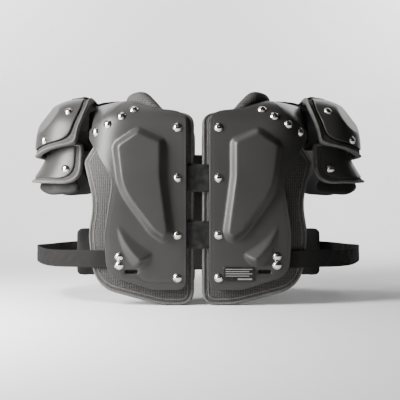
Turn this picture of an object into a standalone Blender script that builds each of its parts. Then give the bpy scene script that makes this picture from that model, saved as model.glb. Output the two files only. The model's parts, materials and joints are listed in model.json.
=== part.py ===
"""Shoulder pads: two hinged halves of moulded plates over padding, with hinged
shoulder cups and side straps.

Frame: +X is the wearer's left, -Y is the wearer's front, +Z is up. The origin
is under the middle of the object, on the surface that the pads stand on.
Most pieces are flat patterns (x, v) that are pressed onto one shared body
surface, so a layer's height above that surface is the only depth it needs.
"""
import bisect
import math

import bmesh
import bpy
from mathutils import Matrix, Vector

# ---------------------------------------------------------------- body surface
HALF_DEPTH = 0.135         # middle of the body to a plate's outer face
ROLL_START = 0.232         # height where the plates start to roll over
ROLL_RISE = 0.072          # rise of the shoulder above that height
ROLL_POWER = 3.0           # 2 is an ellipse, more is boxier
SIDE_START = 0.085         # where a half starts to curve round the side
SIDE_CURVE_LOW = 20.0      # cubic curving round the ribs, 1/m2
SIDE_CURVE_HIGH = 80.0     # cubic curving at the front of the shoulder, 1/m2
SIDE_CURVE_TOP = 12.0      # cubic curving on top of the shoulder, 1/m2

# ------------------------------------------------------------------ the layers
GAP = 0.0005               # between layers that touch
CURVED_GAP = 0.0012        # between sheets that are bent together
PLATE_WALL = 0.0028
ARCH_WALL = 0.0026
BACKING_WALL = 0.0012      # the strip that a row of rivets is headed onto
STRAP_WALL = 0.0019
PAD_THICKNESS = 0.0125

# ------------------------------------------------------- the half's flat pattern
PLATE_INNER = 0.016        # plate edge nearest the middle
PLATE_BOTTOM = 0.0225
PLATE_SIDE = 0.1325        # plate edge at the ribs
PLATE_WAIST = 0.1205       # plate edge at the armhole's narrowest
WAIST_HEIGHT = ROLL_START - 0.054
PLATE_ARMHOLE = 0.157      # plate and arch edge at the shoulder
PAD_INNER = 0.006
PAD_MARGIN = 0.0275        # pad showing past the plate's side edge
ARCH_NECK = 0.113          # arch edge next to the neck
NECK_CORNER = 0.045        # how far the neckline rises past ROLL_START

# --------------------------------------------------------------- raised shapes
SHIELD_HEIGHT = 0.0090
SHIELD_BEVEL = 0.0110
FIN_HEIGHT = 0.0100

# --------------------------------------------------------------------- rivets
RIVET_HEAD = 0.0053        # radius of the dome
RIVET_DOME = 0.0029
RIVET_SHANK = 0.0020
RIVET_CLEARANCE = 0.0004
RIVET_SIDES = 6
STRIP_HALF_WIDTH = 0.0045
INNER_RIVET_X = 0.029
INNER_RIVET_HEIGHTS = (
    ROLL_START + 0.019, ROLL_START - 0.052,
    PLATE_BOTTOM + 0.0775, PLATE_BOTTOM + 0.0175,
)
SHOULDER_RIVETS = ((0.0908, 0.0484), (0.1080, 0.0366), (0.1278, 0.0258), (0.1463, 0.0152))
STRAP_RIVETS = ((0.1107, 0.0700), (0.1107, 0.0575))

# --------------------------------------------------------------------- straps
CENTRE_STRAP_WIDTH = 0.0385
CENTRE_STRAP_REACH = 0.052
SIDE_STRAP_WIDTH = 0.0250
SIDE_STRAP_HEIGHT = 0.0655
SIDE_STRAP_REACH = 0.250   # widest point of the loop from the middle
HINGE_STRAP_WIDTH = 0.038
HOOK_WIDTH = 0.020
HOOK_LENGTH = 0.020
HOOK_WALL = 0.0020
SLOT_LENGTH = 0.0186
SLOT_WIDTH = 0.0070
SLOT_CENTRE = (0.0936, 0.0483)

# ------------------------------------------------------------------------ cups
CUP_X = PLATE_ARMHOLE + 0.003   # centre of the dome
CUP_Z = ROLL_START - 0.017
CUP_WIDTH = 0.090          # half sizes of the dome
CUP_DEPTH = 0.108
CUP_HEIGHT = 0.091
CUP_POWER = 2.7
CUP_FACET_ANGLE = math.radians(52.4)
CUP_FACET_REACH = 0.0932   # dome centre to the flat on its shoulder
CUP_WALL = 0.0024
CUP_PAD = 0.0042
CUP_UNIT = 0.095           # radius that turns the cup's pattern into angles
LOWER_TOP = ROLL_START + 0.004
LOWER_BOTTOM = LOWER_TOP - 0.056
LOWER_WIDTH = 0.0680       # half width at the top
LOWER_FLARE = 0.0275       # how far it flares out at the bottom
LOWER_FLARE_POWER = 1.5    # 1 flares evenly, more keeps the top clear of the upper cup
LOWER_DEPTH = 0.090
LOWER_POWER = 2.5
LOWER_TURN = 78            # degrees that its shell runs round from the outermost line
LOWER_UNIT = 0.090
BORDER = 0.0110            # padded border that shows round a cup's shell
DELTOID_INSET = 0.0150     # lower cup's face to the arm pad's face
DELTOID_THICKNESS = 0.0080

# --------------------------------------------------------------------- padding
COLLAR_RADIUS = 0.0115
SPINE_HALF_WIDTH = 0.040
SPINE_THICKNESS = 0.012
SPINE_TOP = ROLL_START - 0.006
WING_LENGTH = 0.050
WING_THICKNESS = 0.011
WING_GAP = 0.0012          # back pad's edge to the wing's seam
LABEL_CENTRE = (0.0575, 0.0455)
LABEL_SIZE = (0.0440, 0.0200)
LABEL_WALL = 0.0006

# ---------------------------------------------------------------------- joints
BACK_HINGE_Y = HALF_DEPTH - 0.0065
CUP_HINGE = (PLATE_ARMHOLE + 0.006, ROLL_START + ROLL_RISE - 0.008)
LOWER_HINGE = (CUP_X + 0.062, CUP_Z + 0.013)

# depth of each layer below a plate's outer face, as (outer, inner)
PLATE_LAYER = (0.0, -PLATE_WALL)
ARCH_OUTER = -PLATE_WALL - CURVED_GAP
ARCH_LAYER = (ARCH_OUTER, ARCH_OUTER - ARCH_WALL)
STRIP_OUTER = -PLATE_WALL - 1.5 * GAP
STRIP_LAYER = (STRIP_OUTER, STRIP_OUTER - BACKING_WALL)
STRAP_OUTER = STRIP_LAYER[1] - GAP
STRAP_LAYER = (STRAP_OUTER, STRAP_OUTER - STRAP_WALL)
SHOULDER_STRIP_OUTER = ARCH_LAYER[1] - 2 * GAP
SHOULDER_STRIP = (SHOULDER_STRIP_OUTER, SHOULDER_STRIP_OUTER - BACKING_WALL)
PAD_OUTER = min(STRAP_LAYER[1], SHOULDER_STRIP[1]) - 2 * GAP
PAD_LAYER = (PAD_OUTER, PAD_OUTER - PAD_THICKNESS)
CUP_STRIP_OUTER = -CUP_WALL - 2 * CURVED_GAP
CUP_STRIP = (CUP_STRIP_OUTER, CUP_STRIP_OUTER - BACKING_WALL)
CUP_PAD_LAYER = (CUP_STRIP[1] - GAP, CUP_STRIP[1] - GAP - CUP_PAD)

FOLD_X = 0.018             # spacing of the fold lines that let a flat sheet bend
FOLD_V = 0.0177
RELIEF_STEP = 0.0200       # spacing of the extra lines under a raised shape
CUP_GRID = 0.0245

MATERIALS = {
    "shell_plastic": ((0.085, 0.083, 0.080), 0.38, 0.0),
    "rivet_nickel": ((0.72, 0.70, 0.66), 0.22, 1.0),
    "mesh_fabric": ((0.16, 0.155, 0.15), 0.85, 0.0),
    "border_fabric": ((0.24, 0.235, 0.225), 0.80, 0.0),
    "black_fabric": ((0.02, 0.02, 0.02), 0.80, 0.0),
    "strap_leather": ((0.035, 0.033, 0.032), 0.60, 0.0),
    "elastic_webbing": ((0.08, 0.078, 0.075), 0.75, 0.0),
    "label_film": ((0.10, 0.098, 0.095), 0.50, 0.0),
}


# ------------------------------------------------------------ scene and meshes
def start_scene():
    for thing in list(bpy.data.objects):
        bpy.data.objects.remove(thing, do_unlink=True)
    parts = bpy.data.collections.new("shoulder_pads")
    cutters = bpy.data.collections.new("cutters")
    for collection in (parts, cutters):
        bpy.context.scene.collection.children.link(collection)
    return parts, cutters


def make_materials():
    made = {}
    for name, (colour, roughness, metallic) in MATERIALS.items():
        material = bpy.data.materials.new(name)
        material.use_nodes = True
        shader = material.node_tree.nodes["Principled BSDF"]
        shader.inputs["Base Color"].default_value = (*colour, 1.0)
        shader.inputs["Roughness"].default_value = roughness
        shader.inputs["Metallic"].default_value = metallic
        made[name] = material
    return made


PARTS, CUTTERS = start_scene()
FINISHES = make_materials()


def evaluated_mesh(thing):
    depsgraph = bpy.context.evaluated_depsgraph_get()
    return bpy.data.meshes.new_from_object(thing.evaluated_get(depsgraph), depsgraph=depsgraph)


def boolean(base, tool, operation):
    """The mesh of base cut by, or joined to, tool; base is used up."""
    cut = base.modifiers.new(operation.lower(), "BOOLEAN")
    cut.operation = operation
    cut.solver = "EXACT"
    cut.object = tool
    mesh = evaluated_mesh(base)
    bpy.data.objects.remove(base, do_unlink=True)
    return mesh


def loose_object(name, mesh, collection):
    thing = bpy.data.objects.new(name, mesh)
    collection.objects.link(thing)
    return thing


# ------------------------------------------------------------- flat outlines
def rounded(corners, steps=4):
    """A closed outline from (x, y, radius) corners, each turned by an arc."""
    outline = []
    for i, (x, y, radius) in enumerate(corners):
        here = Vector((x, y))
        before = Vector(corners[i - 1][:2]) - here
        after = Vector(corners[(i + 1) % len(corners)][:2]) - here
        turn = math.pi - before.angle(after)
        limit = 0.48 * min(before.length, after.length)
        reach = min(radius * math.tan(turn / 2), limit)
        if reach < 0.0005:
            outline.append(here)
            continue
        start = here + before.normalized() * reach
        end = here + after.normalized() * reach
        count = max(2, min(steps, int(turn / 0.25) + 1))
        for k in range(count + 1):
            t = k / count
            outline.append(start * (1 - t) ** 2 + here * 2 * t * (1 - t) + end * t * t)
    return outline


def capsule(first, last, half_width, steps=4):
    """An outline round the line from first to last, with round ends."""
    first, last = Vector(first), Vector(last)
    along = (last - first).normalized()
    heading = math.atan2(along.y, along.x)
    outline = []
    for centre, start in ((first, heading + math.pi / 2), (last, heading - math.pi / 2)):
        for k in range(steps + 1):
            angle = start + math.pi * k / steps
            outline.append(centre + half_width * Vector((math.cos(angle), math.sin(angle))))
    return outline


def box_outline(x0, y0, x1, y1, radius):
    return rounded([(x0, y0, radius), (x1, y0, radius), (x1, y1, radius), (x0, y1, radius)])


def blank(outline, low, high):
    """A flat blank of the outline, from low to high in depth, as a bmesh."""
    curve = bpy.data.curves.new("outline", "CURVE")
    curve.dimensions = "2D"
    curve.fill_mode = "BOTH"
    curve.extrude = (high - low) / 2
    spline = curve.splines.new("POLY")
    spline.points.add(len(outline) - 1)
    for point, (x, y) in zip(spline.points, outline):
        point.co = (x, y, 0.0, 1.0)
    spline.use_cyclic_u = True
    thing = loose_object("outline", curve, CUTTERS)
    mesh = evaluated_mesh(thing)
    bpy.data.objects.remove(thing, do_unlink=True)
    shape = bmesh.new()
    shape.from_mesh(mesh)
    bmesh.ops.remove_doubles(shape, verts=shape.verts, dist=1e-6)
    bmesh.ops.translate(shape, verts=shape.verts, vec=(0, 0, (low + high) / 2))
    bmesh.ops.dissolve_limit(shape, angle_limit=0.001, verts=shape.verts, edges=shape.edges)
    return shape


def fold_at(shape, axis, lines):
    """Cut the blank along lines across one axis, so that it can bend there."""
    for line in lines:
        spot = Vector((0, 0, 0))
        spot[axis] = line
        normal = Vector((0, 0, 0))
        normal[axis] = 1
        everything = shape.verts[:] + shape.edges[:] + shape.faces[:]
        bmesh.ops.bisect_plane(shape, geom=everything, dist=2e-4, plane_co=spot, plane_no=normal)


def square_folds(low, high, step):
    return [k * step for k in range(math.ceil(low / step), math.floor(high / step) + 1)]


def body_folds(x_extra=(), v_extra=()):
    """The fold lines that every layer of the body shares, and any of its own."""
    across = [SIDE_START + FOLD_X * k for k in range(6)]
    low = [ROLL_START - 0.072, ROLL_START - 0.036]
    roll = [ROLL_START + FOLD_V * k for k in range(int((CREST - ROLL_START) / FOLD_V) + 1)]
    up = low + roll
    return across + list(x_extra), up + [2 * CREST - v for v in up] + list(v_extra)


def cup_folds():
    span = math.pi * CUP_UNIT / 2 + CUP_GRID
    return square_folds(-span, span, CUP_GRID), square_folds(-span, span, CUP_GRID)


NO_FOLDS = ((), ())


def formed(outline, layer, form, folds=NO_FOLDS, emboss=None):
    """A sheet of the outline pressed onto a surface, as a bmesh."""
    shape = blank(outline, layer[1], layer[0])
    for axis in (0, 1):
        fold_at(shape, axis, folds[axis])
    bmesh.ops.triangulate(shape, faces=shape.faces, ngon_method="EAR_CLIP")
    for vert in shape.verts:
        x, v, depth = vert.co
        if emboss:
            depth += emboss(x, v)
        vert.co = form(x, v, depth)
    close(shape)
    return shape


def close(shape):
    bmesh.ops.remove_doubles(shape, verts=shape.verts, dist=2e-5)
    bmesh.ops.recalc_face_normals(shape, faces=shape.faces)


# ------------------------------------------------------------- body surface
def roll_profile(count=240):
    """Points and lengths along the roll over the shoulder, front to back."""
    points = []
    for i in range(count + 1):
        angle = math.pi * i / count
        across = math.copysign(abs(math.cos(angle)) ** (2 / ROLL_POWER), math.cos(angle))
        up = abs(math.sin(angle)) ** (2 / ROLL_POWER)
        points.append(Vector((-HALF_DEPTH * across, ROLL_START + ROLL_RISE * up)))
    lengths = [0.0]
    for first, second in zip(points, points[1:]):
        lengths.append(lengths[-1] + (second - first).length)
    return points, lengths


ROLL_POINTS, ROLL_LENGTHS = roll_profile()
ROLL_LENGTH = ROLL_LENGTHS[-1]
CREST = ROLL_START + ROLL_LENGTH / 2       # pattern height of the shoulder's top


def body_profile(v):
    """Depth and height at pattern height v, and the outward direction there."""
    if v <= ROLL_START:
        return Vector((-HALF_DEPTH, v)), Vector((-1, 0))
    along = v - ROLL_START
    if along >= ROLL_LENGTH:
        return Vector((HALF_DEPTH, ROLL_START + ROLL_LENGTH - along)), Vector((1, 0))
    i = bisect.bisect_right(ROLL_LENGTHS, along)
    span = ROLL_LENGTHS[i] - ROLL_LENGTHS[i - 1]
    share = (along - ROLL_LENGTHS[i - 1]) / span
    point = ROLL_POINTS[i - 1].lerp(ROLL_POINTS[i], share)
    before = ROLL_POINTS[max(i - 4, 0)]
    after = ROLL_POINTS[min(i + 3, len(ROLL_POINTS) - 1)]
    run = (after - before).normalized()
    return point, Vector((-run.y, run.x))


def smooth_step(low, high, value):
    share = min(max((value - low) / (high - low), 0.0), 1.0)
    return share * share * (3 - 2 * share)


def side_drop(x, v):
    """How far the surface falls away round the side, and its slope there."""
    height = min(v, 2 * CREST - v)
    rise = smooth_step(ROLL_START - 0.112, ROLL_START + 0.028, height)
    over = smooth_step(ROLL_START + 0.060, CREST, height)
    curve = SIDE_CURVE_LOW + (SIDE_CURVE_HIGH - SIDE_CURVE_LOW) * rise
    curve -= (SIDE_CURVE_HIGH - SIDE_CURVE_TOP) * over
    past = max(x - SIDE_START, 0.0)
    return curve * past ** 3, 3 * curve * past ** 2


def on_body(x, v, depth):
    """The point of the flat pattern (x, v), at a depth off the outer face."""
    point, outward = body_profile(v)
    drop, slope = side_drop(x, v)
    size = math.sqrt(1 + slope * slope)
    place = point - outward * drop + outward * (depth / size)
    return Vector((x + depth * slope / size, place.x, place.y))


def behind(point):
    """The same place on the back."""
    return Vector((point.x, -point.y, point.z))


# ----------------------------------------------------------------- cup surfaces
def on_upper_cup(u, v, depth):
    """u runs round the cup from its top outwards, v from the back forwards."""
    tilt, turn = u / CUP_UNIT, v / CUP_UNIT
    way = Vector((math.cos(turn) * math.sin(tilt), -math.sin(turn), math.cos(turn) * math.cos(tilt)))
    total = abs(way.x / CUP_WIDTH) ** CUP_POWER
    total += abs(way.y / CUP_DEPTH) ** CUP_POWER
    total += abs(way.z / CUP_HEIGHT) ** CUP_POWER
    reach = total ** (-1 / CUP_POWER)
    facet = way.x * math.sin(CUP_FACET_ANGLE) + way.z * math.cos(CUP_FACET_ANGLE)
    if facet * reach > CUP_FACET_REACH:
        reach = CUP_FACET_REACH / facet
    return Vector((CUP_X, 0, CUP_Z)) + way * (reach + depth)


def on_lower_cup(u, z, depth):
    """u runs round the cup from its outermost line forwards."""
    turn = u / LOWER_UNIT
    down = max(LOWER_TOP - z, 0.0) / (LOWER_TOP - LOWER_BOTTOM)
    width = LOWER_WIDTH + LOWER_FLARE * min(down ** LOWER_FLARE_POWER, down)
    length = LOWER_DEPTH + 0.3 * LOWER_FLARE * down
    total = abs(math.cos(turn) / width) ** LOWER_POWER + abs(math.sin(turn) / length) ** LOWER_POWER
    reach = total ** (-1 / LOWER_POWER) + depth
    return Vector((CUP_X + reach * math.cos(turn), -reach * math.sin(turn), z))


# ------------------------------------------------------------ the raised shapes
SHIELD = rounded([
    (0.0480, PLATE_BOTTOM + 0.0640, 0.020),
    (0.0680, PLATE_BOTTOM + 0.0780, 0.030),
    (0.1130, PLATE_BOTTOM + 0.1380, 0.090),
    (PLATE_SIDE - 0.0115, ROLL_START - 0.0030, 0.018),
    (0.0850, ROLL_START + 0.0210, 0.012),
    (0.0440, ROLL_START + 0.0030, 0.014),
    (0.0440, ROLL_START - 0.0500, 0.090),
    (INNER_RIVET_X + 0.0040, PLATE_BOTTOM + 0.0760, 0.018),
], steps=6)
FIN_TIP = Vector((0.1078, PLATE_BOTTOM + 0.0900))
FIN_NOSE = Vector((0.0790, PLATE_BOTTOM + 0.0450))


def depth_inside(outline, x, y):
    """Distance to the outline's edge, positive inside it."""
    point = Vector((x, y))
    inside = False
    nearest = 1.0
    for first, second in zip(outline, outline[1:] + outline[:1]):
        edge = second - first
        share = min(max((point - first).dot(edge) / edge.length_squared, 0.0), 1.0)
        nearest = min(nearest, (point - first - edge * share).length)
        if (first.y > y) != (second.y > y):
            if x < first.x + (y - first.y) * edge.x / edge.y:
                inside = not inside
    return nearest if inside else -nearest


def shield_relief(x, v):
    return SHIELD_HEIGHT * smooth_step(0.0, SHIELD_BEVEL, depth_inside(SHIELD, x, v))


def fin_relief(x, v):
    """A ramp that grows from the tip to a rounded nose, under a sharp ridge."""
    along = FIN_NOSE - FIN_TIP
    point = Vector((x, v)) - FIN_TIP
    share = point.dot(along) / along.length_squared
    off = (point.x * along.y - point.y * along.x) / along.length
    if share <= 0.0:
        return 0.0
    width = 0.0155 if off > 0 else 0.0115
    if share <= 1.0:
        return FIN_HEIGHT * share * max(0.0, 1 - abs(off) / (width * (0.2 + 0.8 * share)))
    past = (share - 1.0) * along.length
    return FIN_HEIGHT * max(0.0, 1 - math.hypot(off / width, past / 0.009))


def front_relief(x, v):
    return shield_relief(x, v) + fin_relief(x, v)


# ---------------------------------------------------------------- the patterns
def plate_pattern():
    neck = ROLL_START + NECK_CORNER
    waist = WAIST_HEIGHT
    return rounded([
        (PLATE_INNER, PLATE_BOTTOM, 0.016),
        (0.0620, PLATE_BOTTOM, 0.080),
        (PLATE_SIDE - 0.0045, PLATE_BOTTOM + 0.0210, 0.028),
        (PLATE_SIDE, PLATE_BOTTOM + 0.0775, 0.060),
        (PLATE_WAIST, waist, 0.030),
        (PLATE_ARMHOLE, ROLL_START + 0.0040, 0.004),
        (PLATE_ARMHOLE, ROLL_START + 0.0230, 0.010),
        (0.1260, neck + 0.0015, 0.020),
        (0.1045, neck + 0.0360, 0.006),
        (0.0875, neck + 0.0215, 0.030),
        (0.0620, neck + 0.0065, 0.020),
        (PLATE_INNER, neck, 0.033),
    ])


def arch_pattern():
    front = ROLL_START
    front_half = [
        (0.0825, front + 0.0410, 0.006),
        (0.1500, front + 0.0045, 0.006),
        (PLATE_ARMHOLE, front + 0.0300, 0.020),
    ]
    neck_side = [
        (ARCH_NECK, front + 0.1300, 0.030),
        (0.0985, front + 0.0770, 0.030),
        (0.0825, front + 0.0540, 0.006),
    ]
    back_half = [(x, 2 * CREST - v, radius) for x, v, radius in reversed(front_half)]
    back_neck = [(x, 2 * CREST - v, radius) for x, v, radius in reversed(neck_side)]
    return rounded(front_half + back_half + back_neck + neck_side)


def body_pad_pattern():
    top = ROLL_START + 0.0300
    side = PLATE_SIDE + PAD_MARGIN
    return rounded([
        (PAD_INNER, 0.0, 0.020),
        (0.0500, 0.0, 0.100),
        (side - 0.0100, 0.0260, 0.050),
        (side, 0.1000, 0.080),
        (side - 0.0080, 0.1450, 0.080),
        (PLATE_ARMHOLE + 0.0190, ROLL_START - 0.0270, 0.008),
        (PLATE_ARMHOLE - 0.0050, ROLL_START + 0.0040, 0.012),
        (PLATE_ARMHOLE - 0.0050, top, 0.008),
        (0.0900, top, 0.008),
        (0.0495, ROLL_START + 0.0500, 0.003),
        (0.0490, ROLL_START + 0.0710, 0.004),
        (0.0200, ROLL_START + 0.0620, 0.020),
        (PAD_INNER, ROLL_START + 0.0320, 0.020),
    ])


def pad_puff(x, v):
    """The body pad swells where it leaves the plate at the neck."""
    puff = -PAD_OUTER - 0.002
    return puff * smooth_step(ROLL_START + 0.048, ROLL_START + 0.066, v) * smooth_step(0.075, 0.050, x)


# ------------------------------------------------------------------ the pieces
def place(name, shape, material, body, flip_x=False, flip_y=False):
    """Make a named object of a bmesh or mesh, turned over where asked."""
    work = bmesh.new()
    if isinstance(shape, bmesh.types.BMesh):
        held = bpy.data.meshes.new("held")
        shape.to_mesh(held)
        work.from_mesh(held)
    else:
        work.from_mesh(shape)
    if flip_x:
        bmesh.ops.scale(work, vec=(-1, 1, 1), verts=work.verts)
    if flip_y:
        bmesh.ops.scale(work, vec=(1, -1, 1), verts=work.verts)
    if flip_x != flip_y:
        bmesh.ops.reverse_faces(work, faces=work.faces)
    bmesh.ops.triangulate(work, faces=work.faces)
    mesh = bpy.data.meshes.new(name)
    work.to_mesh(mesh)
    work.free()
    mesh.materials.clear()
    mesh.materials.append(FINISHES[material])
    mesh.shade_smooth()
    mesh.set_sharp_from_angle(angle=math.radians(35))
    thing = loose_object(name, mesh, PARTS)
    if body:
        thing.parent = body
        thing.location = -world_place(body)
    return thing


def world_place(thing):
    spot = thing.location.copy()
    while thing.parent:
        thing = thing.parent
        spot += thing.location
    return spot


def joint_empty(name, spot, parent=None):
    empty = bpy.data.objects.new(name, None)
    PARTS.objects.link(empty)
    empty.location = spot
    if parent:
        empty.parent = parent
        empty.location = Vector(spot) - world_place(parent)
    return empty


def surface_frame(form, spot, step=0.001):
    """A matrix at a pattern spot, its Z pointing out of the surface."""
    origin = form(spot[0], spot[1], 0.0)
    along = form(spot[0] + step, spot[1], 0.0) - form(spot[0] - step, spot[1], 0.0)
    up = form(spot[0], spot[1] + step, 0.0) - form(spot[0], spot[1] - step, 0.0)
    out = along.cross(up).normalized()
    outward = form(spot[0], spot[1], step) - origin
    if out.dot(outward) < 0:
        out = -out
    side = up.cross(out).normalized()
    turned = Matrix((side, out.cross(side), out)).transposed().to_4x4()
    return Matrix.Translation(origin) @ turned


def turned_solid(profile, sides=RIVET_SIDES):
    """A solid of revolution from (radius, height) points, top to bottom."""
    shape = bmesh.new()
    rings = []
    for radius, height in profile:
        if radius == 0.0:
            rings.append([shape.verts.new((0, 0, height))])
            continue
        ring = []
        for k in range(sides):
            angle = 2 * math.pi * k / sides
            ring.append(shape.verts.new((radius * math.cos(angle), radius * math.sin(angle), height)))
        rings.append(ring)
    for upper, lower in zip(rings, rings[1:]):
        for k in range(sides):
            a, b = upper[k % len(upper)], upper[(k + 1) % len(upper)]
            c, d = lower[(k + 1) % len(lower)], lower[k % len(lower)]
            corners = [vert for i, vert in enumerate((a, b, c, d)) if vert not in (a, b, c, d)[:i]]
            shape.faces.new(corners)
    bmesh.ops.recalc_face_normals(shape, faces=shape.faces)
    return shape


def rivet_shape(depth):
    """A domed rivet whose shank ends at a depth below the face."""
    seat = GAP
    return turned_solid([
        (0.0, seat + RIVET_DOME),
        (RIVET_HEAD * 0.62, seat + RIVET_DOME * 0.78),
        (RIVET_HEAD, seat),
        (RIVET_SHANK, seat),
        (RIVET_SHANK, depth),
        (0.0, depth),
    ])


def joined_at(shape_of, spots, form):
    """One mesh that holds a copy of a shape at each pattern spot."""
    joined = bmesh.new()
    for spot in spots:
        copy = shape_of()
        bmesh.ops.transform(copy, matrix=surface_frame(form, spot), verts=copy.verts)
        held = bpy.data.meshes.new("held")
        copy.to_mesh(held)
        joined.from_mesh(held)
    mesh = bpy.data.meshes.new("joined")
    joined.to_mesh(mesh)
    return mesh


def rivet_row(spots, form, strip_layer, folds):
    """Rivets joined by the backing strip that they are headed onto."""
    sunk = (strip_layer[0] + strip_layer[1]) / 2
    strip = formed(capsule(spots[0], spots[-1], STRIP_HALF_WIDTH), strip_layer, form, folds)
    strip_mesh = bpy.data.meshes.new("strip")
    strip.to_mesh(strip_mesh)
    base = loose_object("strip", strip_mesh, CUTTERS)
    tool = loose_object("rivets", joined_at(lambda: rivet_shape(sunk), spots, form), CUTTERS)
    mesh = boolean(base, tool, "UNION")
    bpy.data.objects.remove(tool, do_unlink=True)
    return mesh


def single_rivet(spot, form, depth):
    """One rivet with its burr behind the shell."""
    burr = STRIP_HALF_WIDTH
    seat = GAP
    shape = turned_solid([
        (0.0, seat + RIVET_DOME),
        (RIVET_HEAD * 0.62, seat + RIVET_DOME * 0.78),
        (RIVET_HEAD, seat),
        (RIVET_SHANK, seat),
        (RIVET_SHANK, depth[0]),
        (burr, depth[0]),
        (burr, depth[1]),
        (0.0, depth[1]),
    ])
    bmesh.ops.transform(shape, matrix=surface_frame(form, spot), verts=shape.verts)
    return shape


def hole_cutter(name, spots, form, slots=()):
    """Clearance holes for rivets, and any slots, as one hidden cutter."""
    def pin():
        radius = RIVET_SHANK + RIVET_CLEARANCE
        return turned_solid([(0.0, 0.02), (radius, 0.02), (radius, -0.02), (0.0, -0.02)])
    cutter = bmesh.new()
    cutter.from_mesh(joined_at(pin, spots, form))
    for centre, length, width in slots:
        half = (length - width) / 2
        outline = capsule((centre[0] - half, centre[1]), (centre[0] + half, centre[1]), width / 2)
        shape = formed(outline, (0.012, -0.012), form)
        held = bpy.data.meshes.new("held")
        shape.to_mesh(held)
        cutter.from_mesh(held)
    mesh = bpy.data.meshes.new(name)
    cutter.to_mesh(mesh)
    thing = loose_object(name, mesh, CUTTERS)
    thing.hide_render = True
    thing.display_type = "WIRE"
    return thing


def pierced(shape, cutter):
    mesh = bpy.data.meshes.new("blank")
    shape.to_mesh(mesh)
    return boolean(loose_object("blank", mesh, CUTTERS), cutter, "DIFFERENCE")


def ribbon(path, width, height, wall):
    """A strap on edge that follows a route seen from above."""
    route = spline_points(path, 3)
    left, right = [], []
    for i, point in enumerate(route):
        run = (route[min(i + 1, len(route) - 1)] - route[max(i - 1, 0)]).normalized()
        off = Vector((-run.y, run.x)) * wall / 2
        left.append(point + off)
        right.append(point - off)
    return blank(left + right[::-1], height - width / 2, height + width / 2)


def spline_points(points, steps):
    """A smooth route through the points."""
    points = [Vector(point) for point in points]
    ends = [2 * points[0] - points[1]] + points + [2 * points[-1] - points[-2]]
    route = []
    for a, b, c, d in zip(ends, ends[1:], ends[2:], ends[3:]):
        for k in range(steps):
            t = k / steps
            point = 0.5 * (2 * b + (c - a) * t + (2 * a - 5 * b + 4 * c - d) * t ** 2
                           + (3 * b - a - 3 * c + d) * t ** 3)
            route.append(point)
    route.append(points[-1])
    return route


def collar_tube():
    """The padded roll that follows the neck edge of the plates and arch."""
    front_half = [
        (0.0525, ROLL_START + 0.0690, -0.0060),
        (0.0660, ROLL_START + 0.0720, -0.0040),
        (0.0800, ROLL_START + 0.0840, -0.0020),
        (0.0920, ROLL_START + 0.1040, -0.0040),
        (ARCH_NECK - 0.0135, ROLL_START + 0.1380, -0.0060),
    ]
    back_half = [(x, 2 * CREST - v, depth) for x, v, depth in reversed(front_half)]
    crest = [(ARCH_NECK - 0.0130, CREST, -0.0060)]
    curve = bpy.data.curves.new("collar", "CURVE")
    curve.dimensions = "3D"
    curve.bevel_depth = COLLAR_RADIUS
    curve.bevel_resolution = 2
    curve.use_fill_caps = True
    spline = curve.splines.new("POLY")
    route = spline_points([on_body(*spot) for spot in front_half + crest + back_half], 1)
    spline.points.add(len(route) - 1)
    for point, spot in zip(spline.points, route):
        point.co = (*spot, 1.0)
    thing = loose_object("collar", curve, CUTTERS)
    mesh = evaluated_mesh(thing)
    bpy.data.objects.remove(thing, do_unlink=True)
    shape = bmesh.new()
    shape.from_mesh(mesh)
    close(shape)
    return shape


def wing_form(u, v, depth):
    """The side wing runs out from the back pad's edge, turned forwards a little."""
    start = on_body(PLATE_SIDE + PAD_MARGIN, 0.060, PAD_OUTER - PAD_THICKNESS / 2)
    heading = math.radians(20.0)
    along = Vector((math.cos(heading), -math.sin(heading), 0))
    across = Vector((math.sin(heading), math.cos(heading), 0))
    spot = behind(start) + along * (u + WING_GAP) + across * depth
    return Vector((spot.x, spot.y, v))


def side_strap_route():
    """The loop from the front plate's edge round to the back plate's face."""
    front = on_body(PLATE_SIDE, SIDE_STRAP_HEIGHT, (STRAP_LAYER[0] + STRAP_LAYER[1]) / 2)
    hook_face = GAP + HOOK_WALL + GAP + STRAP_WALL / 2
    edge = behind(on_body(PLATE_SIDE + 0.0025, SIDE_STRAP_HEIGHT, 0.0055))
    end = behind(on_body(0.1000, SIDE_STRAP_HEIGHT, hook_face))
    near = behind(on_body(0.1180, SIDE_STRAP_HEIGHT, hook_face))
    return [
        (front.x + 0.0015, front.y),
        (PLATE_SIDE + 0.0225, front.y + 0.0042),
        (SIDE_STRAP_REACH - 0.0600, front.y + 0.0225),
        (SIDE_STRAP_REACH - 0.0240, front.y + 0.0600),
        (SIDE_STRAP_REACH - 0.0010, -0.0050),
        (SIDE_STRAP_REACH, 0.0400),
        (SIDE_STRAP_REACH - 0.0180, edge.y - 0.0410),
        (SIDE_STRAP_REACH - 0.0520, edge.y - 0.0130),
        (0.1650, edge.y - 0.0005),
        (edge.x, edge.y),
        (near.x, near.y),
        (end.x, end.y),
    ]


def lower_pattern(edge, top):
    reach = math.radians(LOWER_TURN) * LOWER_UNIT + edge
    bottom = LOWER_BOTTOM - edge * 0.8
    corner = 0.042 + edge
    return rounded([
        (-reach, bottom, corner), (reach, bottom, corner),
        (reach, top, 0.006), (-reach, top, 0.006),
    ], steps=5)


def upper_pattern(edge):
    low = math.radians(15.5) * CUP_UNIT - edge
    high = math.radians(83) * CUP_UNIT + edge
    reach = math.radians(66) * CUP_UNIT + edge
    corner = 0.050 + edge
    return rounded([
        (low, -reach, corner), (high, -reach, corner),
        (high, reach, corner), (low, reach, corner),
    ], steps=5)


def deltoid_pattern():
    low = LOWER_BOTTOM - 0.0240
    high = LOWER_BOTTOM + 0.0250
    return rounded([
        (-0.138, low + 0.002, 0.012), (0.138, low + 0.002, 0.012),
        (0.098, high, 0.012), (-0.098, high, 0.012),
    ])


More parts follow.
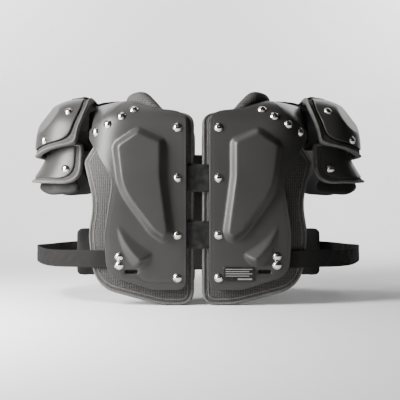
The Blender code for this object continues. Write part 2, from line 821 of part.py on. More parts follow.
CUP_RIVETS = ((0.0413, 0.0850), (0.1190, 0.0860))
LOWER_RIVET = (0.1105, 0.1940)
INNER_RIVETS = [(INNER_RIVET_X, height) for height in INNER_RIVET_HEIGHTS]
ARCH_RIVETS = [(x, ROLL_START + up) for x, up in SHOULDER_RIVETS]


def body_half_shapes():
    """(name, shape, material, flip_y) for the pieces of the wearer's left half."""
    slots = [(SLOT_CENTRE, SLOT_LENGTH, SLOT_WIDTH)]
    holes = INNER_RIVETS + ARCH_RIVETS
    front_cutter = hole_cutter("front_holes", holes + list(STRAP_RIVETS), on_body, slots)
    back_cutter = hole_cutter("back_holes", holes, on_body)
    arch_cutter = hole_cutter("arch_holes", ARCH_RIVETS, on_body)
    rivet_line = INNER_RIVET_X + RIVET_HEAD + GAP
    label_line = LABEL_CENTRE[1] + LABEL_SIZE[1] / 2 + GAP
    relief_x = [rivet_line] + square_folds(0.040, SIDE_START - 0.006, RELIEF_STEP * 0.75)
    relief_v = [label_line] + square_folds(label_line + 0.006, ROLL_START - 0.006, RELIEF_STEP)
    folds = body_folds()
    plate_folds = body_folds(relief_x, relief_v)
    front_plate = formed(plate_pattern(), PLATE_LAYER, on_body, plate_folds, front_relief)
    back_plate = formed(plate_pattern(), PLATE_LAYER, on_body, plate_folds, shield_relief)
    front_plate = pierced(front_plate, front_cutter)
    back_plate = pierced(back_plate, back_cutter)
    arch = formed(arch_pattern(), ARCH_LAYER, on_body, folds)
    arch = pierced(arch, arch_cutter)
    arch_back_cutter = loose_object("arch_back_holes", arch_cutter.data.copy(), CUTTERS)
    arch_back_cutter.data.transform(Matrix.Scale(-1, 4, (0, 1, 0)))
    arch_back_cutter.data.flip_normals()
    arch_back_cutter.hide_render = True
    arch_back_cutter.display_type = "WIRE"
    arch = boolean(loose_object("arch", arch, CUTTERS), arch_back_cutter, "DIFFERENCE")
    pad = formed(body_pad_pattern(), PAD_LAYER, on_body, folds, pad_puff)
    shoulder = box_outline(ARCH_NECK + 0.001, ROLL_START + 0.034, PLATE_ARMHOLE + 0.001,
                           2 * CREST - ROLL_START - 0.034, 0.008)
    strap = box_outline(ARCH_NECK + 0.006, CREST - HINGE_STRAP_WIDTH / 2,
                        PLATE_ARMHOLE, CREST + HINGE_STRAP_WIDTH / 2, 0.002)
    strap_layer = (ARCH_LAYER[0] + GAP + STRAP_WALL, ARCH_LAYER[0] + GAP)
    anchor = box_outline(0.098, SIDE_STRAP_HEIGHT - SIDE_STRAP_WIDTH / 2, PLATE_SIDE - 0.0030,
                         SIDE_STRAP_HEIGHT + SIDE_STRAP_WIDTH / 2, 0.002)
    wing = box_outline(0.0, 0.020, WING_LENGTH, 0.103, 0.012)
    inner_rivets = rivet_row(INNER_RIVETS, on_body, STRIP_LAYER, folds)
    arch_rivets = rivet_row(ARCH_RIVETS, on_body, SHOULDER_STRIP, folds)
    strap_rivets = rivet_row(list(STRAP_RIVETS), on_body, STRIP_LAYER, folds)
    return [
        ("front_plate", front_plate, "shell_plastic", False),
        ("back_plate", back_plate, "shell_plastic", True),
        ("shoulder_arch", arch, "shell_plastic", False),
        ("front_body_pad", pad, "mesh_fabric", False),
        ("back_body_pad", pad, "mesh_fabric", True),
        ("shoulder_pad", formed(shoulder, PAD_LAYER, on_body, folds), "black_fabric", False),
        ("collar_roll", collar_tube(), "border_fabric", False),
        ("side_wing_pad", formed(wing, (WING_THICKNESS / 2, -WING_THICKNESS / 2), wing_form),
         "black_fabric", False),
        ("cup_hinge_strap", formed(strap, strap_layer, on_body, folds), "elastic_webbing", False),
        ("side_strap_anchor", formed(anchor, STRAP_LAYER, on_body, folds), "elastic_webbing", False),
        ("front_inner_rivets", inner_rivets, "rivet_nickel", False),
        ("back_inner_rivets", inner_rivets, "rivet_nickel", True),
        ("front_shoulder_rivets", arch_rivets, "rivet_nickel", False),
        ("back_shoulder_rivets", arch_rivets, "rivet_nickel", True),
        ("front_strap_rivets", strap_rivets, "rivet_nickel", False),
    ]


def strap_shapes():
    hook = box_outline(0.1000, SIDE_STRAP_HEIGHT - HOOK_WIDTH / 2, 0.1000 + HOOK_LENGTH,
                       SIDE_STRAP_HEIGHT + HOOK_WIDTH / 2, 0.003)
    return [
        ("side_strap", ribbon(side_strap_route(), SIDE_STRAP_WIDTH, SIDE_STRAP_HEIGHT, STRAP_WALL),
         "elastic_webbing", False),
        ("strap_hook", formed(hook, (GAP + HOOK_WALL, GAP), on_body, body_folds()), "rivet_nickel", True),
    ]


def upper_cup_shapes():
    spots = list(CUP_RIVETS)
    cutter = hole_cutter("upper_cup_holes", spots + [(u, -v) for u, v in spots], on_upper_cup)
    shell = pierced(formed(upper_pattern(0.0), (0.0, -CUP_WALL), on_upper_cup, cup_folds()), cutter)
    pad = formed(upper_pattern(BORDER), CUP_PAD_LAYER, on_upper_cup, cup_folds())
    rivets = rivet_row(spots, on_upper_cup, CUP_STRIP, cup_folds())
    link = box_outline(-0.0125, LOWER_BOTTOM + 0.030, 0.0125, LOWER_TOP + 0.006, 0.002)
    link_layer = (-DELTOID_INSET, -DELTOID_INSET - STRAP_WALL)
    return [
        ("upper_cup_shell", shell, "shell_plastic", False),
        ("upper_cup_pad", pad, "border_fabric", False),
        ("upper_cup_front_rivets", rivets, "rivet_nickel", False),
        ("upper_cup_back_rivets", rivets, "rivet_nickel", True),
        ("cup_link_strap", formed(link, link_layer, on_lower_cup, cup_folds()), "elastic_webbing", False),
    ]


def lower_cup_shapes():
    spots = [LOWER_RIVET, (-LOWER_RIVET[0], LOWER_RIVET[1])]
    cutter = hole_cutter("lower_cup_holes", spots, on_lower_cup)
    shell = formed(lower_pattern(0.0, LOWER_TOP - 0.004), (0.0, -CUP_WALL), on_lower_cup, cup_folds())
    pad = formed(lower_pattern(BORDER * 0.8, LOWER_TOP - 0.004), CUP_PAD_LAYER, on_lower_cup, cup_folds())
    rivet = single_rivet(LOWER_RIVET, on_lower_cup, CUP_STRIP)
    return [
        ("lower_cup_shell", pierced(shell, cutter), "shell_plastic", False),
        ("lower_cup_pad", pad, "border_fabric", False),
        ("lower_cup_front_rivet", rivet, "rivet_nickel", False),
    ]


def deltoid_shapes():
    layer = (-DELTOID_INSET, -DELTOID_INSET - DELTOID_THICKNESS)
    pad = formed(deltoid_pattern(), layer, on_lower_cup, cup_folds())
    return [("deltoid_pad", pad, "black_fabric", False)]


def build_sides():
    """Both halves: the wearer's left as modelled, the right turned over in X."""
    groups = (body_half_shapes(), strap_shapes(), upper_cup_shapes(), lower_cup_shapes(), deltoid_shapes())
    strap_start = side_strap_route()[0]
    right_half = joint_empty("right_half_hinge", (0, BACK_HINGE_Y, 0))
    for side, sign, half in (("left", 1, None), ("right", -1, right_half)):
        strap = joint_empty(side + "_strap_hinge", (sign * strap_start[0], strap_start[1], 0), half)
        upper = joint_empty(side + "_upper_cup_hinge", (sign * CUP_HINGE[0], 0, CUP_HINGE[1]), half)
        lower = joint_empty(side + "_lower_cup_hinge", (sign * LOWER_HINGE[0], 0, LOWER_HINGE[1]), upper)
        for shapes, body in zip(groups, (half, strap, upper, lower, upper)):
            for name, shape, material, flip_y in shapes:
                place(side + "_" + name, shape, material, body, sign < 0, flip_y)
    return right_half


def build_centre(right_half):
    """The straps and spine pad that join the halves, and the blank label."""
    heights = {"upper": INNER_RIVET_HEIGHTS[1], "lower": INNER_RIVET_HEIGHTS[2]}
    for level, height in heights.items():
        low, high = height - CENTRE_STRAP_WIDTH / 2, height + CENTRE_STRAP_WIDTH / 2
        front = box_outline(-CENTRE_STRAP_REACH, low, CENTRE_STRAP_REACH, high, 0.002)
        place(level + "_chest_strap", formed(front, STRAP_LAYER, on_body), "strap_leather", None)
        back = box_outline(GAP, low, CENTRE_STRAP_REACH, high, 0.002)
        leaf = formed(back, STRAP_LAYER, on_body)
        place("left_" + level + "_back_strap", leaf, "strap_leather", None, False, True)
        place("right_" + level + "_back_strap", leaf, "strap_leather", right_half, True, True)
    spine = box_outline(-SPINE_HALF_WIDTH, 0.030, SPINE_HALF_WIDTH, SPINE_TOP, 0.015)
    outer = PAD_LAYER[1] - 2 * GAP
    place("spine_pad", formed(spine, (outer, outer - SPINE_THICKNESS), on_body), "black_fabric", None,
          False, True)
    x, z = LABEL_CENTRE
    wide, high = LABEL_SIZE[0] / 2, LABEL_SIZE[1] / 2
    label = box_outline(x - wide, z - high, x + wide, z + high, 0.002)
    place("label_panel", formed(label, (GAP + LABEL_WALL, GAP), on_body), "label_film", None)


build_centre(build_sides())
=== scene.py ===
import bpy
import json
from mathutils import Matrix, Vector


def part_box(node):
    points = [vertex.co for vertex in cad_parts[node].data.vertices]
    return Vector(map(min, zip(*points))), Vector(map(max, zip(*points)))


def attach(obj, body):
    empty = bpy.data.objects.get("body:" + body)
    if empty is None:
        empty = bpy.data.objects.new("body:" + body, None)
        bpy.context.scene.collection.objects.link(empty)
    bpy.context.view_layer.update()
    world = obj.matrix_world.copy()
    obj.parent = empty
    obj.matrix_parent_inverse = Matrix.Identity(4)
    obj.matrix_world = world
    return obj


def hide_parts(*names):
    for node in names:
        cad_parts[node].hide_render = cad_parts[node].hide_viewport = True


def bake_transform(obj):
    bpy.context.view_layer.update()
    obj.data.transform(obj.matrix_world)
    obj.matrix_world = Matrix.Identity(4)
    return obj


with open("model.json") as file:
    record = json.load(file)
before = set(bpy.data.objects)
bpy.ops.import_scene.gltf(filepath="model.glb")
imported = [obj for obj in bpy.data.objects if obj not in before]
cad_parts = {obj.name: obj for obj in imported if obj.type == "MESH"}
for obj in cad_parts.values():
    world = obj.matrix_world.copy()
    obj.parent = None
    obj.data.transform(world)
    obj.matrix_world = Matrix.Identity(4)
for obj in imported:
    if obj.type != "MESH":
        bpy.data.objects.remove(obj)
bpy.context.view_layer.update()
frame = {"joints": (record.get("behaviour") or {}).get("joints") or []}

# %% Tools that the cells below use
import json
import math

import bmesh
import bpy
import numpy as np
from mathutils import Vector, geometry

MM = 0.001


def unit(vectors):
    return vectors / np.linalg.norm(vectors, axis=1)[:, None]


def lengths_along(line):
    """How far along the line each of its points is."""
    return np.concatenate([[0.0], np.cumsum(np.linalg.norm(np.diff(line, axis=0), axis=1))])


def looked_up(at, places, rows):
    """The rows at some places, read off between the places where they are known."""
    return np.stack([np.interp(at, places, rows[:, k]) for k in range(rows.shape[1])], 1)


def in_scene(name, data):
    thing = bpy.data.objects.new(name, data)
    bpy.context.scene.collection.objects.link(thing)
    return thing



# %% [markdown]
# ## Sizes
# A maker cuts flat patterns and presses them to shape. The patterns need a few
# driving sizes, and most of those are read from the joints and boxes of the CAD
# model, so the visible pieces land where the solids are.
# %% Driving sizes, read from the frame
joints = {joint["name"]: joint for joint in frame["joints"]}
cup_hinge = Vector(joints["left_upper_cup_swing"]["pos_m"])
lower_hinge = Vector(joints["left_lower_cup_swing"]["pos_m"])
back_hinge = Vector(joints["half_opening"]["pos_m"])
plate_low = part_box("left_front_plate")[0]

ARMHOLE_X = cup_hinge.x - 0.006
SHOULDER_TOP = cup_hinge.z + 0.008
CUP_X = ARMHOLE_X + 0.003
CUP_Z = lower_hinge.z - 0.013
ROLL_START = CUP_Z + 0.017
ROLL_RISE = SHOULDER_TOP - ROLL_START
HALF_DEPTH = back_hinge.y + 0.0065
PLATE_INNER = plate_low.x
PLATE_BOTTOM = plate_low.z
PAD_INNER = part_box("left_front_body_pad")[0].x
PLATE_SIDE = 0.1325
print(f"half depth {HALF_DEPTH:.4f} m, roll starts at {ROLL_START:.4f} m, rises {ROLL_RISE:.4f} m")

PLASTIC_EDGE = 1.1 * MM             # rounding of a moulded sheet's edge
SEWN_LINES = (6.2 * MM, 11.5 * MM)  # two rows of stitches, measured from a body pad's edge

# depths below the plates' outer face, outer side first
PLATE = (0.0, -2.8 * MM)
ARCH = (-4.0 * MM, -6.6 * MM)
STRAP = (-5.25 * MM, -7.15 * MM)
PAD = (-9.8 * MM, -22.3 * MM)

# %% [markdown]
# ## One surface for every layer
# Plates, pads and straps lie on each other like the leaves of a book that is
# bent over the shoulder. It could be sculpted piece by piece, but then layers
# would cross. Here one function bends a flat pattern (x, v) to shape, and each
# layer only says how deep below the surface it lies.
# %% The body surface
ROLL_POWER = 3.0
SIDE_START = 0.085
SIDE_CURVES = (20.0, 80.0, 12.0)    # at the ribs, at the shoulder's front, on its top
STRAIGHT = 0.4                      # straight run modelled past each end of the roll


def roll_table():
    """Pattern height against place and outward direction, front to back."""
    angle = np.linspace(0.0, math.pi, 1201)
    across = np.sign(np.cos(angle)) * np.abs(np.cos(angle)) ** (2 / ROLL_POWER)
    place = np.stack([-HALF_DEPTH * across,
                      ROLL_START + ROLL_RISE * np.abs(np.sin(angle)) ** (2 / ROLL_POWER)], 1)
    length = lengths_along(place)
    height = np.concatenate([[ROLL_START - STRAIGHT], ROLL_START + length,
                             [ROLL_START + length[-1] + STRAIGHT]])
    place = np.concatenate([[[-HALF_DEPTH, ROLL_START - STRAIGHT]], place,
                            [[HALF_DEPTH, ROLL_START - STRAIGHT]]])
    even = np.arange(height[0], height[-1], 1.0 * MM)
    spots = looked_up(even, height, place)
    run = np.gradient(spots, axis=0)
    blur = np.ones(7) / 7
    run = np.stack([np.convolve(run[:, k], blur, "same") for k in (0, 1)], 1)
    run[:4], run[-4:] = (0.0, 1.0), (0.0, -1.0)
    run = unit(run)
    return even, spots, np.stack([-run[:, 1], run[:, 0]], 1), length[-1]


ROLL_V, ROLL_SPOTS, ROLL_OUT, ROLL_LENGTH = roll_table()
CREST = ROLL_START + ROLL_LENGTH / 2


def eased(low, high, value):
    share = np.clip((value - low) / (high - low), 0.0, 1.0)
    return share * share * (3 - 2 * share)


def on_body(x, v, depth):
    """The pattern point (x, v), at a depth off the plates' outer face."""
    spot = looked_up(v, ROLL_V, ROLL_SPOTS)
    out = unit(looked_up(v, ROLL_V, ROLL_OUT))
    height = np.minimum(v, 2 * CREST - v)
    ribs, front, top = SIDE_CURVES
    curve = ribs + (front - ribs) * eased(ROLL_START - 0.112, ROLL_START + 0.028, height)
    curve -= (front - top) * eased(ROLL_START + 0.060, CREST, height)
    past = np.maximum(x - SIDE_START, 0.0)
    drop, slope = curve * past ** 3, 3 * curve * past ** 2
    size = np.sqrt(1 + slope ** 2)
    spot = spot + out * (depth / size - drop)[:, None]
    return np.column_stack([x + depth * slope / size, spot])


print(f"the shoulder's crest is {CREST:.4f} m up the pattern")

# %% [markdown]
# ## The cups' own surfaces
# An upper cup is a boxy dome with three flats over its shoulder, one facing
# outwards and one turned to each side of it. A superellipse gives the dome, and
# a soft minimum lays the flats on it. A lower cup is a skirt that flares.
# %% The cup surfaces
CUP_HALF = (0.090, HALF_DEPTH - 0.027, 0.091)
CUP_POWER = 2.7
CUP_UNIT = 0.095                    # turns pattern metres into angles
FACET_LEAN = math.radians(52.4)     # how far the flats lean outwards from straight up
FACETS = ((0.0, 0.0930), (25.0, 0.1025), (-25.0, 0.1025))   # turn forwards in degrees, reach
FACET_SOFTNESS = 0.4 * MM           # how far a flat's edge is rounded
LOWER_TOP = ROLL_START + 0.004
LOWER_BOTTOM = LOWER_TOP - 0.056
LOWER_WIDTH, LOWER_FLARE, LOWER_LENGTH = 0.0680, 0.0275, HALF_DEPTH - 0.045
LOWER_POWER, LOWER_UNIT = 2.5, 0.090
FLARE_POWER = 1.5                   # the flare starts slowly below the upper cup's border
LENGTH_SHARE = 0.3                  # how much of the flare goes to the front and back


def on_upper_cup(u, v, depth):
    """u runs down the outside from the cup's top, v runs from back to front."""
    tilt, turn = u / CUP_UNIT, v / CUP_UNIT
    way = np.stack([np.cos(turn) * np.sin(tilt), -np.sin(turn), np.cos(turn) * np.cos(tilt)], 1)
    reach = (np.abs(way / np.array(CUP_HALF)) ** CUP_POWER).sum(1) ** (-1 / CUP_POWER)
    for turned_by, flat_reach in FACETS:
        b = math.radians(turned_by)
        facing = way @ np.array([math.cos(b) * math.sin(FACET_LEAN), -math.sin(b),
                                 math.cos(b) * math.cos(FACET_LEAN)])
        flat = flat_reach / np.maximum(facing, 0.2)
        reach = -FACET_SOFTNESS * np.logaddexp(-reach / FACET_SOFTNESS, -flat / FACET_SOFTNESS)
    return np.array([CUP_X, 0.0, CUP_Z]) + way * (reach + depth)[:, None]


def on_lower_cup(u, z, depth):
    """u runs forwards round the cup from its outermost line, z is the height."""
    turn = u / LOWER_UNIT
    down = np.maximum(LOWER_TOP - z, 0.0) / (LOWER_TOP - LOWER_BOTTOM)
    width = LOWER_WIDTH + LOWER_FLARE * np.minimum(down ** FLARE_POWER, down)
    length = LOWER_LENGTH + LENGTH_SHARE * LOWER_FLARE * down
    total = np.abs(np.cos(turn) / width) ** LOWER_POWER + np.abs(np.sin(turn) / length) ** LOWER_POWER
    reach = total ** (-1 / LOWER_POWER) + depth
    return np.column_stack([CUP_X + reach * np.cos(turn), -reach * np.sin(turn), z])


# %% [markdown]
# ## Flat patterns
# A pattern is an outline with rounded corners. It is filled with small, even
# triangles, closest at the edge, so that an edge can be rounded over and a
# raised shape comes out smooth. Subdividing a coarse cage is the other way,
# but it would pull the outline in at every corner.
# %% Outlines
def rounded(corners, steps=12):
    """A closed outline from (x, y, radius) corners, each turned by a curve."""
    outline = []
    for i, (x, y, radius) in enumerate(corners):
        here = Vector((x, y))
        before = Vector(corners[i - 1][:2]) - here
        after = Vector(corners[(i + 1) % len(corners)][:2]) - here
        turn = math.pi - before.angle(after)
        reach = min(radius * math.tan(turn / 2), 0.48 * min(before.length, after.length))
        start = here + before.normalized() * reach
        end = here + after.normalized() * reach
        for k in range(steps + 1):
            t = k / steps
            outline.append(start * (1 - t) ** 2 + here * 2 * t * (1 - t) + end * t * t)
    return np.array(outline)


def box_outline(x0, y0, x1, y1, radius):
    return rounded([(x0, y0, radius), (x1, y0, radius), (x1, y1, radius), (x0, y1, radius)])


def spaced(line, step, closed=True):
    """The same line with points at even distances."""
    whole = np.vstack([line, line[:1]]) if closed else np.asarray(line)
    length = lengths_along(whole)
    count = max(int(round(length[-1] / step)), 3)
    even = looked_up(np.linspace(0.0, length[-1], count + 1), length, whole)
    return even[:-1] if closed else even


def smooth_route(points, steps=12):
    """A smooth open line through a few chosen points."""
    points = np.array(points, float)
    ends = np.vstack([2 * points[0] - points[1], points, 2 * points[-1] - points[-2]])
    line = []
    for a, b, c, d in zip(ends, ends[1:], ends[2:], ends[3:]):
        for k in range(steps):
            t = k / steps
            line.append(0.5 * (2 * b + (c - a) * t + (2 * a - 5 * b + 4 * c - d) * t ** 2
                               + (3 * b - a - 3 * c + d) * t ** 3))
    return np.array(line + [points[-1]])


# %% Distances and insides
def distance_to(points, loops, closed=True):
    """How far each point is from the nearest of the loops."""
    best = np.full(len(points), 1.0)
    for loop in loops:
        first = loop if closed else loop[:-1]
        run = (np.roll(loop, -1, axis=0) if closed else loop[1:]) - first
        size = np.maximum((run ** 2).sum(1), 1e-14)
        for low in range(0, len(points), 2000):
            away = points[low:low + 2000, None] - first[None]
            share = np.clip((away * run).sum(2) / size, 0.0, 1.0)
            gap = np.sqrt(((away - share[..., None] * run) ** 2).sum(2)).min(1)
            best[low:low + 2000] = np.minimum(best[low:low + 2000], gap)
    return best


def inside(points, loop):
    first, second = loop[:, None, :], np.roll(loop, -1, axis=0)[:, None, :]
    x, y = points[:, 0], points[:, 1]
    crosses = (first[..., 1] > y) != (second[..., 1] > y)
    rise = np.where(crosses, second[..., 1] - first[..., 1], 1.0)
    at = first[..., 0] + (y - first[..., 1]) * (second[..., 0] - first[..., 0]) / rise
    return (crosses & (x < at)).sum(0) % 2 == 1


def inset(loop, distance):
    """The loop moved inwards, without the points that corners would fold over."""
    run = np.roll(loop, -1, axis=0) - np.roll(loop, 1, axis=0)
    inward = unit(np.stack([-run[:, 1], run[:, 0]], 1))
    moved = loop + inward * distance
    keep = distance_to(moved, [loop]) > abs(distance) * 0.97
    return moved[keep]


# %% Filling a pattern with triangles
ROW_RISE = 0.866                    # the height of an even triangle whose sides are 1
RIM_RINGS = (0.12, 0.45, 1.0)       # rings of points close to an edge, in shares of its rim


class Pattern:
    """Points and triangles that fill an outline, and each point's distance to the edge."""

    def __init__(self, outline, step, holes=(), follow=(), rim=1.2 * MM):
        loops = [spaced(outline, step)] + [spaced(hole, step * 0.6) for hole in holes]
        followed = [spaced(line, step * 0.8) for line in follow]
        parts = list(loops)
        taken = sum(len(loop) for loop in loops)
        for loop in loops:
            for share in RIM_RINGS:
                for sign in (1, -1):
                    ring = inset(loop, sign * share * rim)
                    parts.append(ring[distance_to(ring, loops) > 0.9 * share * rim])
        parts.extend(followed)
        low, high = outline.min(0), outline.max(0)
        rows = []
        for i, y in enumerate(np.arange(low[1], high[1], step * ROW_RISE)):
            x = np.arange(low[0] + (i % 2) * step / 2, high[0], step)
            rows.append(np.column_stack([x, np.full(len(x), y)]))
        grid = np.vstack(rows)
        grid = grid[distance_to(grid, loops) > rim + 0.4 * step]
        if followed:
            grid = grid[distance_to(grid, followed) > 0.5 * step]
        parts.append(grid)
        points = np.vstack(parts)
        good = inside(points, loops[0])
        for hole in loops[1:]:
            good &= ~inside(points, hole)
        good[:taken] = True
        points = points[good]
        edges = []
        base = 0
        for loop in loops:
            edges += [(base + k, base + (k + 1) % len(loop)) for k in range(len(loop))]
            base += len(loop)
        flat = [Vector(point) for point in points.tolist()]
        verts, _, faces, _, _, _ = geometry.delaunay_2d_cdt(flat, edges, [], 0, 1e-7)
        self.points = np.array([tuple(v) for v in verts])
        faces = np.array([f for f in faces if len(f) == 3])
        middle = self.points[faces].mean(1)
        good = inside(middle, loops[0])
        for hole in loops[1:]:
            good &= ~inside(middle, hole)
        self.faces = faces[good]
        self.edge = distance_to(self.points, loops)


# %% [markdown]
# ## Pressed sheets
# A sheet is its pattern twice, once for the outer face and once for the inner,
# with a wall along the edge. The two depths can differ from point to point, so
# one function makes plates with rounded edges and pads with a swollen middle.
# %% From a flat pattern to a shape
def facing_out(points, faces):
    corners = points[faces]
    volume = np.einsum("ij,ij->i", corners[:, 0], np.cross(corners[:, 1], corners[:, 2])).sum()
    return faces if volume > 0 else faces[:, ::-1]


def sheet_shape(flat, outer, inner, form):
    """A closed sheet of a pattern between two depths, pressed onto a surface."""
    count = len(flat.points)
    x, v = flat.points.T
    outer = np.broadcast_to(outer, count)
    inner = np.broadcast_to(inner, count)
    points = np.vstack([form(x, v, outer), form(x, v, inner)])
    sides = np.vstack([flat.faces[:, [0, 1]], flat.faces[:, [1, 2]], flat.faces[:, [2, 0]]])
    keys = {tuple(pair) for pair in sides.tolist()}
    rim = np.array([pair for pair in keys if pair[::-1] not in keys])
    a, b = rim[:, 0], rim[:, 1]
    walls = np.vstack([np.column_stack([b, a, a + count]), np.column_stack([b, a + count, b + count])])
    faces = np.vstack([flat.faces, flat.faces[:, ::-1] + count, walls])
    cloth = np.vstack([np.column_stack([x, v, outer]), np.column_stack([x, v, inner])])
    return {"points": points, "faces": facing_out(points, faces), "cloth": cloth,
            "edge": np.concatenate([flat.edge, flat.edge])}


def rounded_edge(flat, radius, depths):
    """Outer and inner depths of a hard sheet whose edges are rounded over."""
    near = np.clip(1 - flat.edge / radius, 0.0, 1.0)
    fall = radius * (1 - np.sqrt(1 - near ** 2))
    return depths[0] - fall, depths[1] + fall


def soft_edge(flat, depths, rim, crown=0.0, spread=0.03):
    """Outer and inner depths of a padded sheet: round rim, swollen middle."""
    middle, half = (depths[0] + depths[1]) / 2, (depths[0] - depths[1]) / 2
    near = np.clip(1 - flat.edge / rim, 0.0, 1.0)
    swell = half * np.sqrt(1 - near ** 2)
    rise = crown * eased(0.0, spread, flat.edge)
    return middle + swell + rise, middle - swell


def groove(flat, distance, width, depth):
    """A line pulled in by stitches, at a distance from the edge."""
    return -depth * np.exp(-((flat.edge - distance) / width) ** 2)


# %% Tubes and bands along a path
def tube_faces(count, sides, closed):
    """Triangles between rings of points, with a cap on each open end."""
    faces = []
    for i in range(count if closed else count - 1):
        j = (i + 1) % count
        for k in range(sides):
            m = (k + 1) % sides
            a, b, c, d = i * sides + k, j * sides + k, j * sides + m, i * sides + m
            faces += [(a, b, c), (a, c, d)]
    if not closed:
        last = (count - 1) * sides
        for k in range(1, sides - 1):
            faces += [(0, k, k + 1), (last, last + k + 1, last + k)]
    return np.array(faces)


def swept(path, across, high, middle, form, sides=12):
    """A round or oval band round a closed path, across and high from its middle depth."""
    run = np.roll(path, -1, axis=0) - np.roll(path, 1, axis=0)
    side = unit(np.stack([-run[:, 1], run[:, 0]], 1))
    count = len(path)
    length = lengths_along(path)
    points, cloth = [], []
    for angle in np.arange(sides) * 2 * math.pi / sides:
        spot = path + side * across * math.cos(angle)
        depth = np.full(count, middle + high * math.sin(angle))
        points.append(form(spot[:, 0], spot[:, 1], depth))
        cloth.append(np.column_stack([length, np.full(count, angle * 4.0 * MM), depth]))
    points = np.stack(points, 1).reshape(-1, 3)
    cloth = np.stack(cloth, 1).reshape(-1, 3)
    return {"points": points, "faces": facing_out(points, tube_faces(count, sides, True)), "cloth": cloth,
            "edge": np.zeros(len(points))}


def joined(*shapes):
    """Several shapes as one."""
    base = 0
    faces = []
    for shape in shapes:
        faces.append(shape["faces"] + base)
        base += len(shape["points"])
    whole = {key: np.concatenate([shape[key] for shape in shapes]) for key in ("points", "cloth", "edge")}
    whole["faces"] = np.vstack(faces)
    return whole


def turned(shape, flip_x=False, flip_y=False):
    """The shape mirrored to the other side, or to the back."""
    flip = np.array([-1 if flip_x else 1, -1 if flip_y else 1, 1])
    faces = shape["faces"][:, ::-1] if flip_x != flip_y else shape["faces"]
    return {**shape, "points": shape["points"] * flip, "faces": faces}


# %% [markdown]
# ## Finishes
# Each finish is a small node tree. Fabrics read an attribute called cloth that
# holds the flat pattern's coordinates, so a weave follows the piece as it bends.
# Hard pieces read object coordinates, which suits a grain without direction.
# %% Helpers for node trees
def add_node(tree, kind, inputs=(), **settings):
    """Add a node, set its properties, and set or link its inputs."""
    made = tree.nodes.new(kind)
    for key, value in settings.items():
        setattr(made, key, value)
    for socket, value in dict(inputs).items():
        if isinstance(value, bpy.types.NodeSocket):
            tree.links.new(value, made.inputs[socket])
        else:
            made.inputs[socket].default_value = value
    return made


def blank_finish(name, colour, roughness, metallic=0.0):
    material = bpy.data.materials.new(name)
    material.use_nodes = True
    material.diffuse_color = (*colour, 1.0)
    shader = material.node_tree.nodes["Principled BSDF"]
    shader.inputs["Base Color"].default_value = (*colour, 1.0)
    shader.inputs["Roughness"].default_value = roughness
    shader.inputs["Metallic"].default_value = metallic
    return material, material.node_tree, shader


def noise(tree, place, scale, detail=3.0):
    made = add_node(tree, "ShaderNodeTexNoise", {"Vector": place, "Scale": scale, "Detail": detail})
    return made.outputs["Fac"]


def spread(tree, value, low, high, start=0.0, end=1.0):
    made = add_node(tree, "ShaderNodeMapRange",
                    {"Value": value, "From Min": start, "From Max": end, "To Min": low, "To Max": high})
    return made.outputs["Result"]


def blend_colours(tree, share, first, second):
    made = add_node(tree, "ShaderNodeMix", {"Factor": share}, data_type="RGBA")
    ends = {"A": first, "B": second}
    for socket in made.inputs:
        if socket.type == "RGBA" and socket.name in ends:
            socket.default_value = (*ends[socket.name], 1.0)
    return next(out for out in made.outputs if out.type == "RGBA")


def tinted(tree, shader, share, first, second):
    tree.links.new(blend_colours(tree, share, first, second), shader.inputs["Base Color"])


def roughened(tree, shader, share, low, high):
    tree.links.new(spread(tree, share, low, high), shader.inputs["Roughness"])


def combined(tree, operation, *values, **settings):
    """Some values put together by one piece of arithmetic."""
    made = add_node(tree, "ShaderNodeMath", dict(enumerate(values)), operation=operation, **settings)
    return made.outputs[0]


def bumped(tree, shader, height, strength, distance):
    bump = add_node(tree, "ShaderNodeBump", {"Height": height, "Strength": strength, "Distance": distance})
    tree.links.new(bump.outputs["Normal"], shader.inputs["Normal"])


def sine_lines(tree, value, pitch):
    """0 to 1 and back along a length, once in each pitch."""
    wave = combined(tree, "SINE", combined(tree, "MULTIPLY", value, 2 * math.pi / pitch))
    return spread(tree, wave, 0.0, 1.0, -1.0, 1.0)


def cloth_axes(tree):
    """The flat pattern's coordinates: the vector, then x and v."""
    read = add_node(tree, "ShaderNodeAttribute", attribute_name="cloth")
    split = add_node(tree, "ShaderNodeSeparateXYZ", {0: read.outputs["Vector"]})
    return read.outputs["Vector"], split.outputs["X"], split.outputs["Y"]


def object_place(tree):
    return add_node(tree, "ShaderNodeTexCoord").outputs["Object"]


# %% [markdown]
# ### Moulded plastic and nickel
# The plates are satin: their roughness is middling and even, with a grain much
# finer than a millimetre, and a faint unevenness that a mould leaves.
# %% Hard finishes
def moulded_plastic():
    material, tree, shader = blank_finish("satin moulded plastic", (0.017, 0.0165, 0.016), 0.36)
    place = object_place(tree)
    grain = noise(tree, place, 1500.0, 2.0)
    patches = noise(tree, place, 18.0, 4.0)
    tinted(tree, shader, patches, (0.0240, 0.0232, 0.0219), (0.0350, 0.0339, 0.0321))
    worn = combined(tree, "ADD", spread(tree, patches, 0.31, 0.40), spread(tree, grain, -0.05, 0.05))
    tree.links.new(worn, shader.inputs["Roughness"])
    shader.inputs["Specular IOR Level"].default_value = 0.30
    bumped(tree, shader, grain, 0.22, 0.4 * MM)
    return material


def polished_nickel():
    material, tree, shader = blank_finish("polished nickel", (0.72, 0.70, 0.66), 0.16, 1.0)
    place = object_place(tree)
    scuffs = noise(tree, place, 420.0, 5.0)
    roughened(tree, shader, scuffs, 0.08, 0.26)
    tinted(tree, shader, noise(tree, place, 150.0), (0.62, 0.60, 0.56), (0.80, 0.78, 0.74))
    bumped(tree, shader, scuffs, 0.06, 0.3 * MM)
    return material


PLASTIC = moulded_plastic()
NICKEL = polished_nickel()
print("hard finishes:", PLASTIC.name, "and", NICKEL.name)


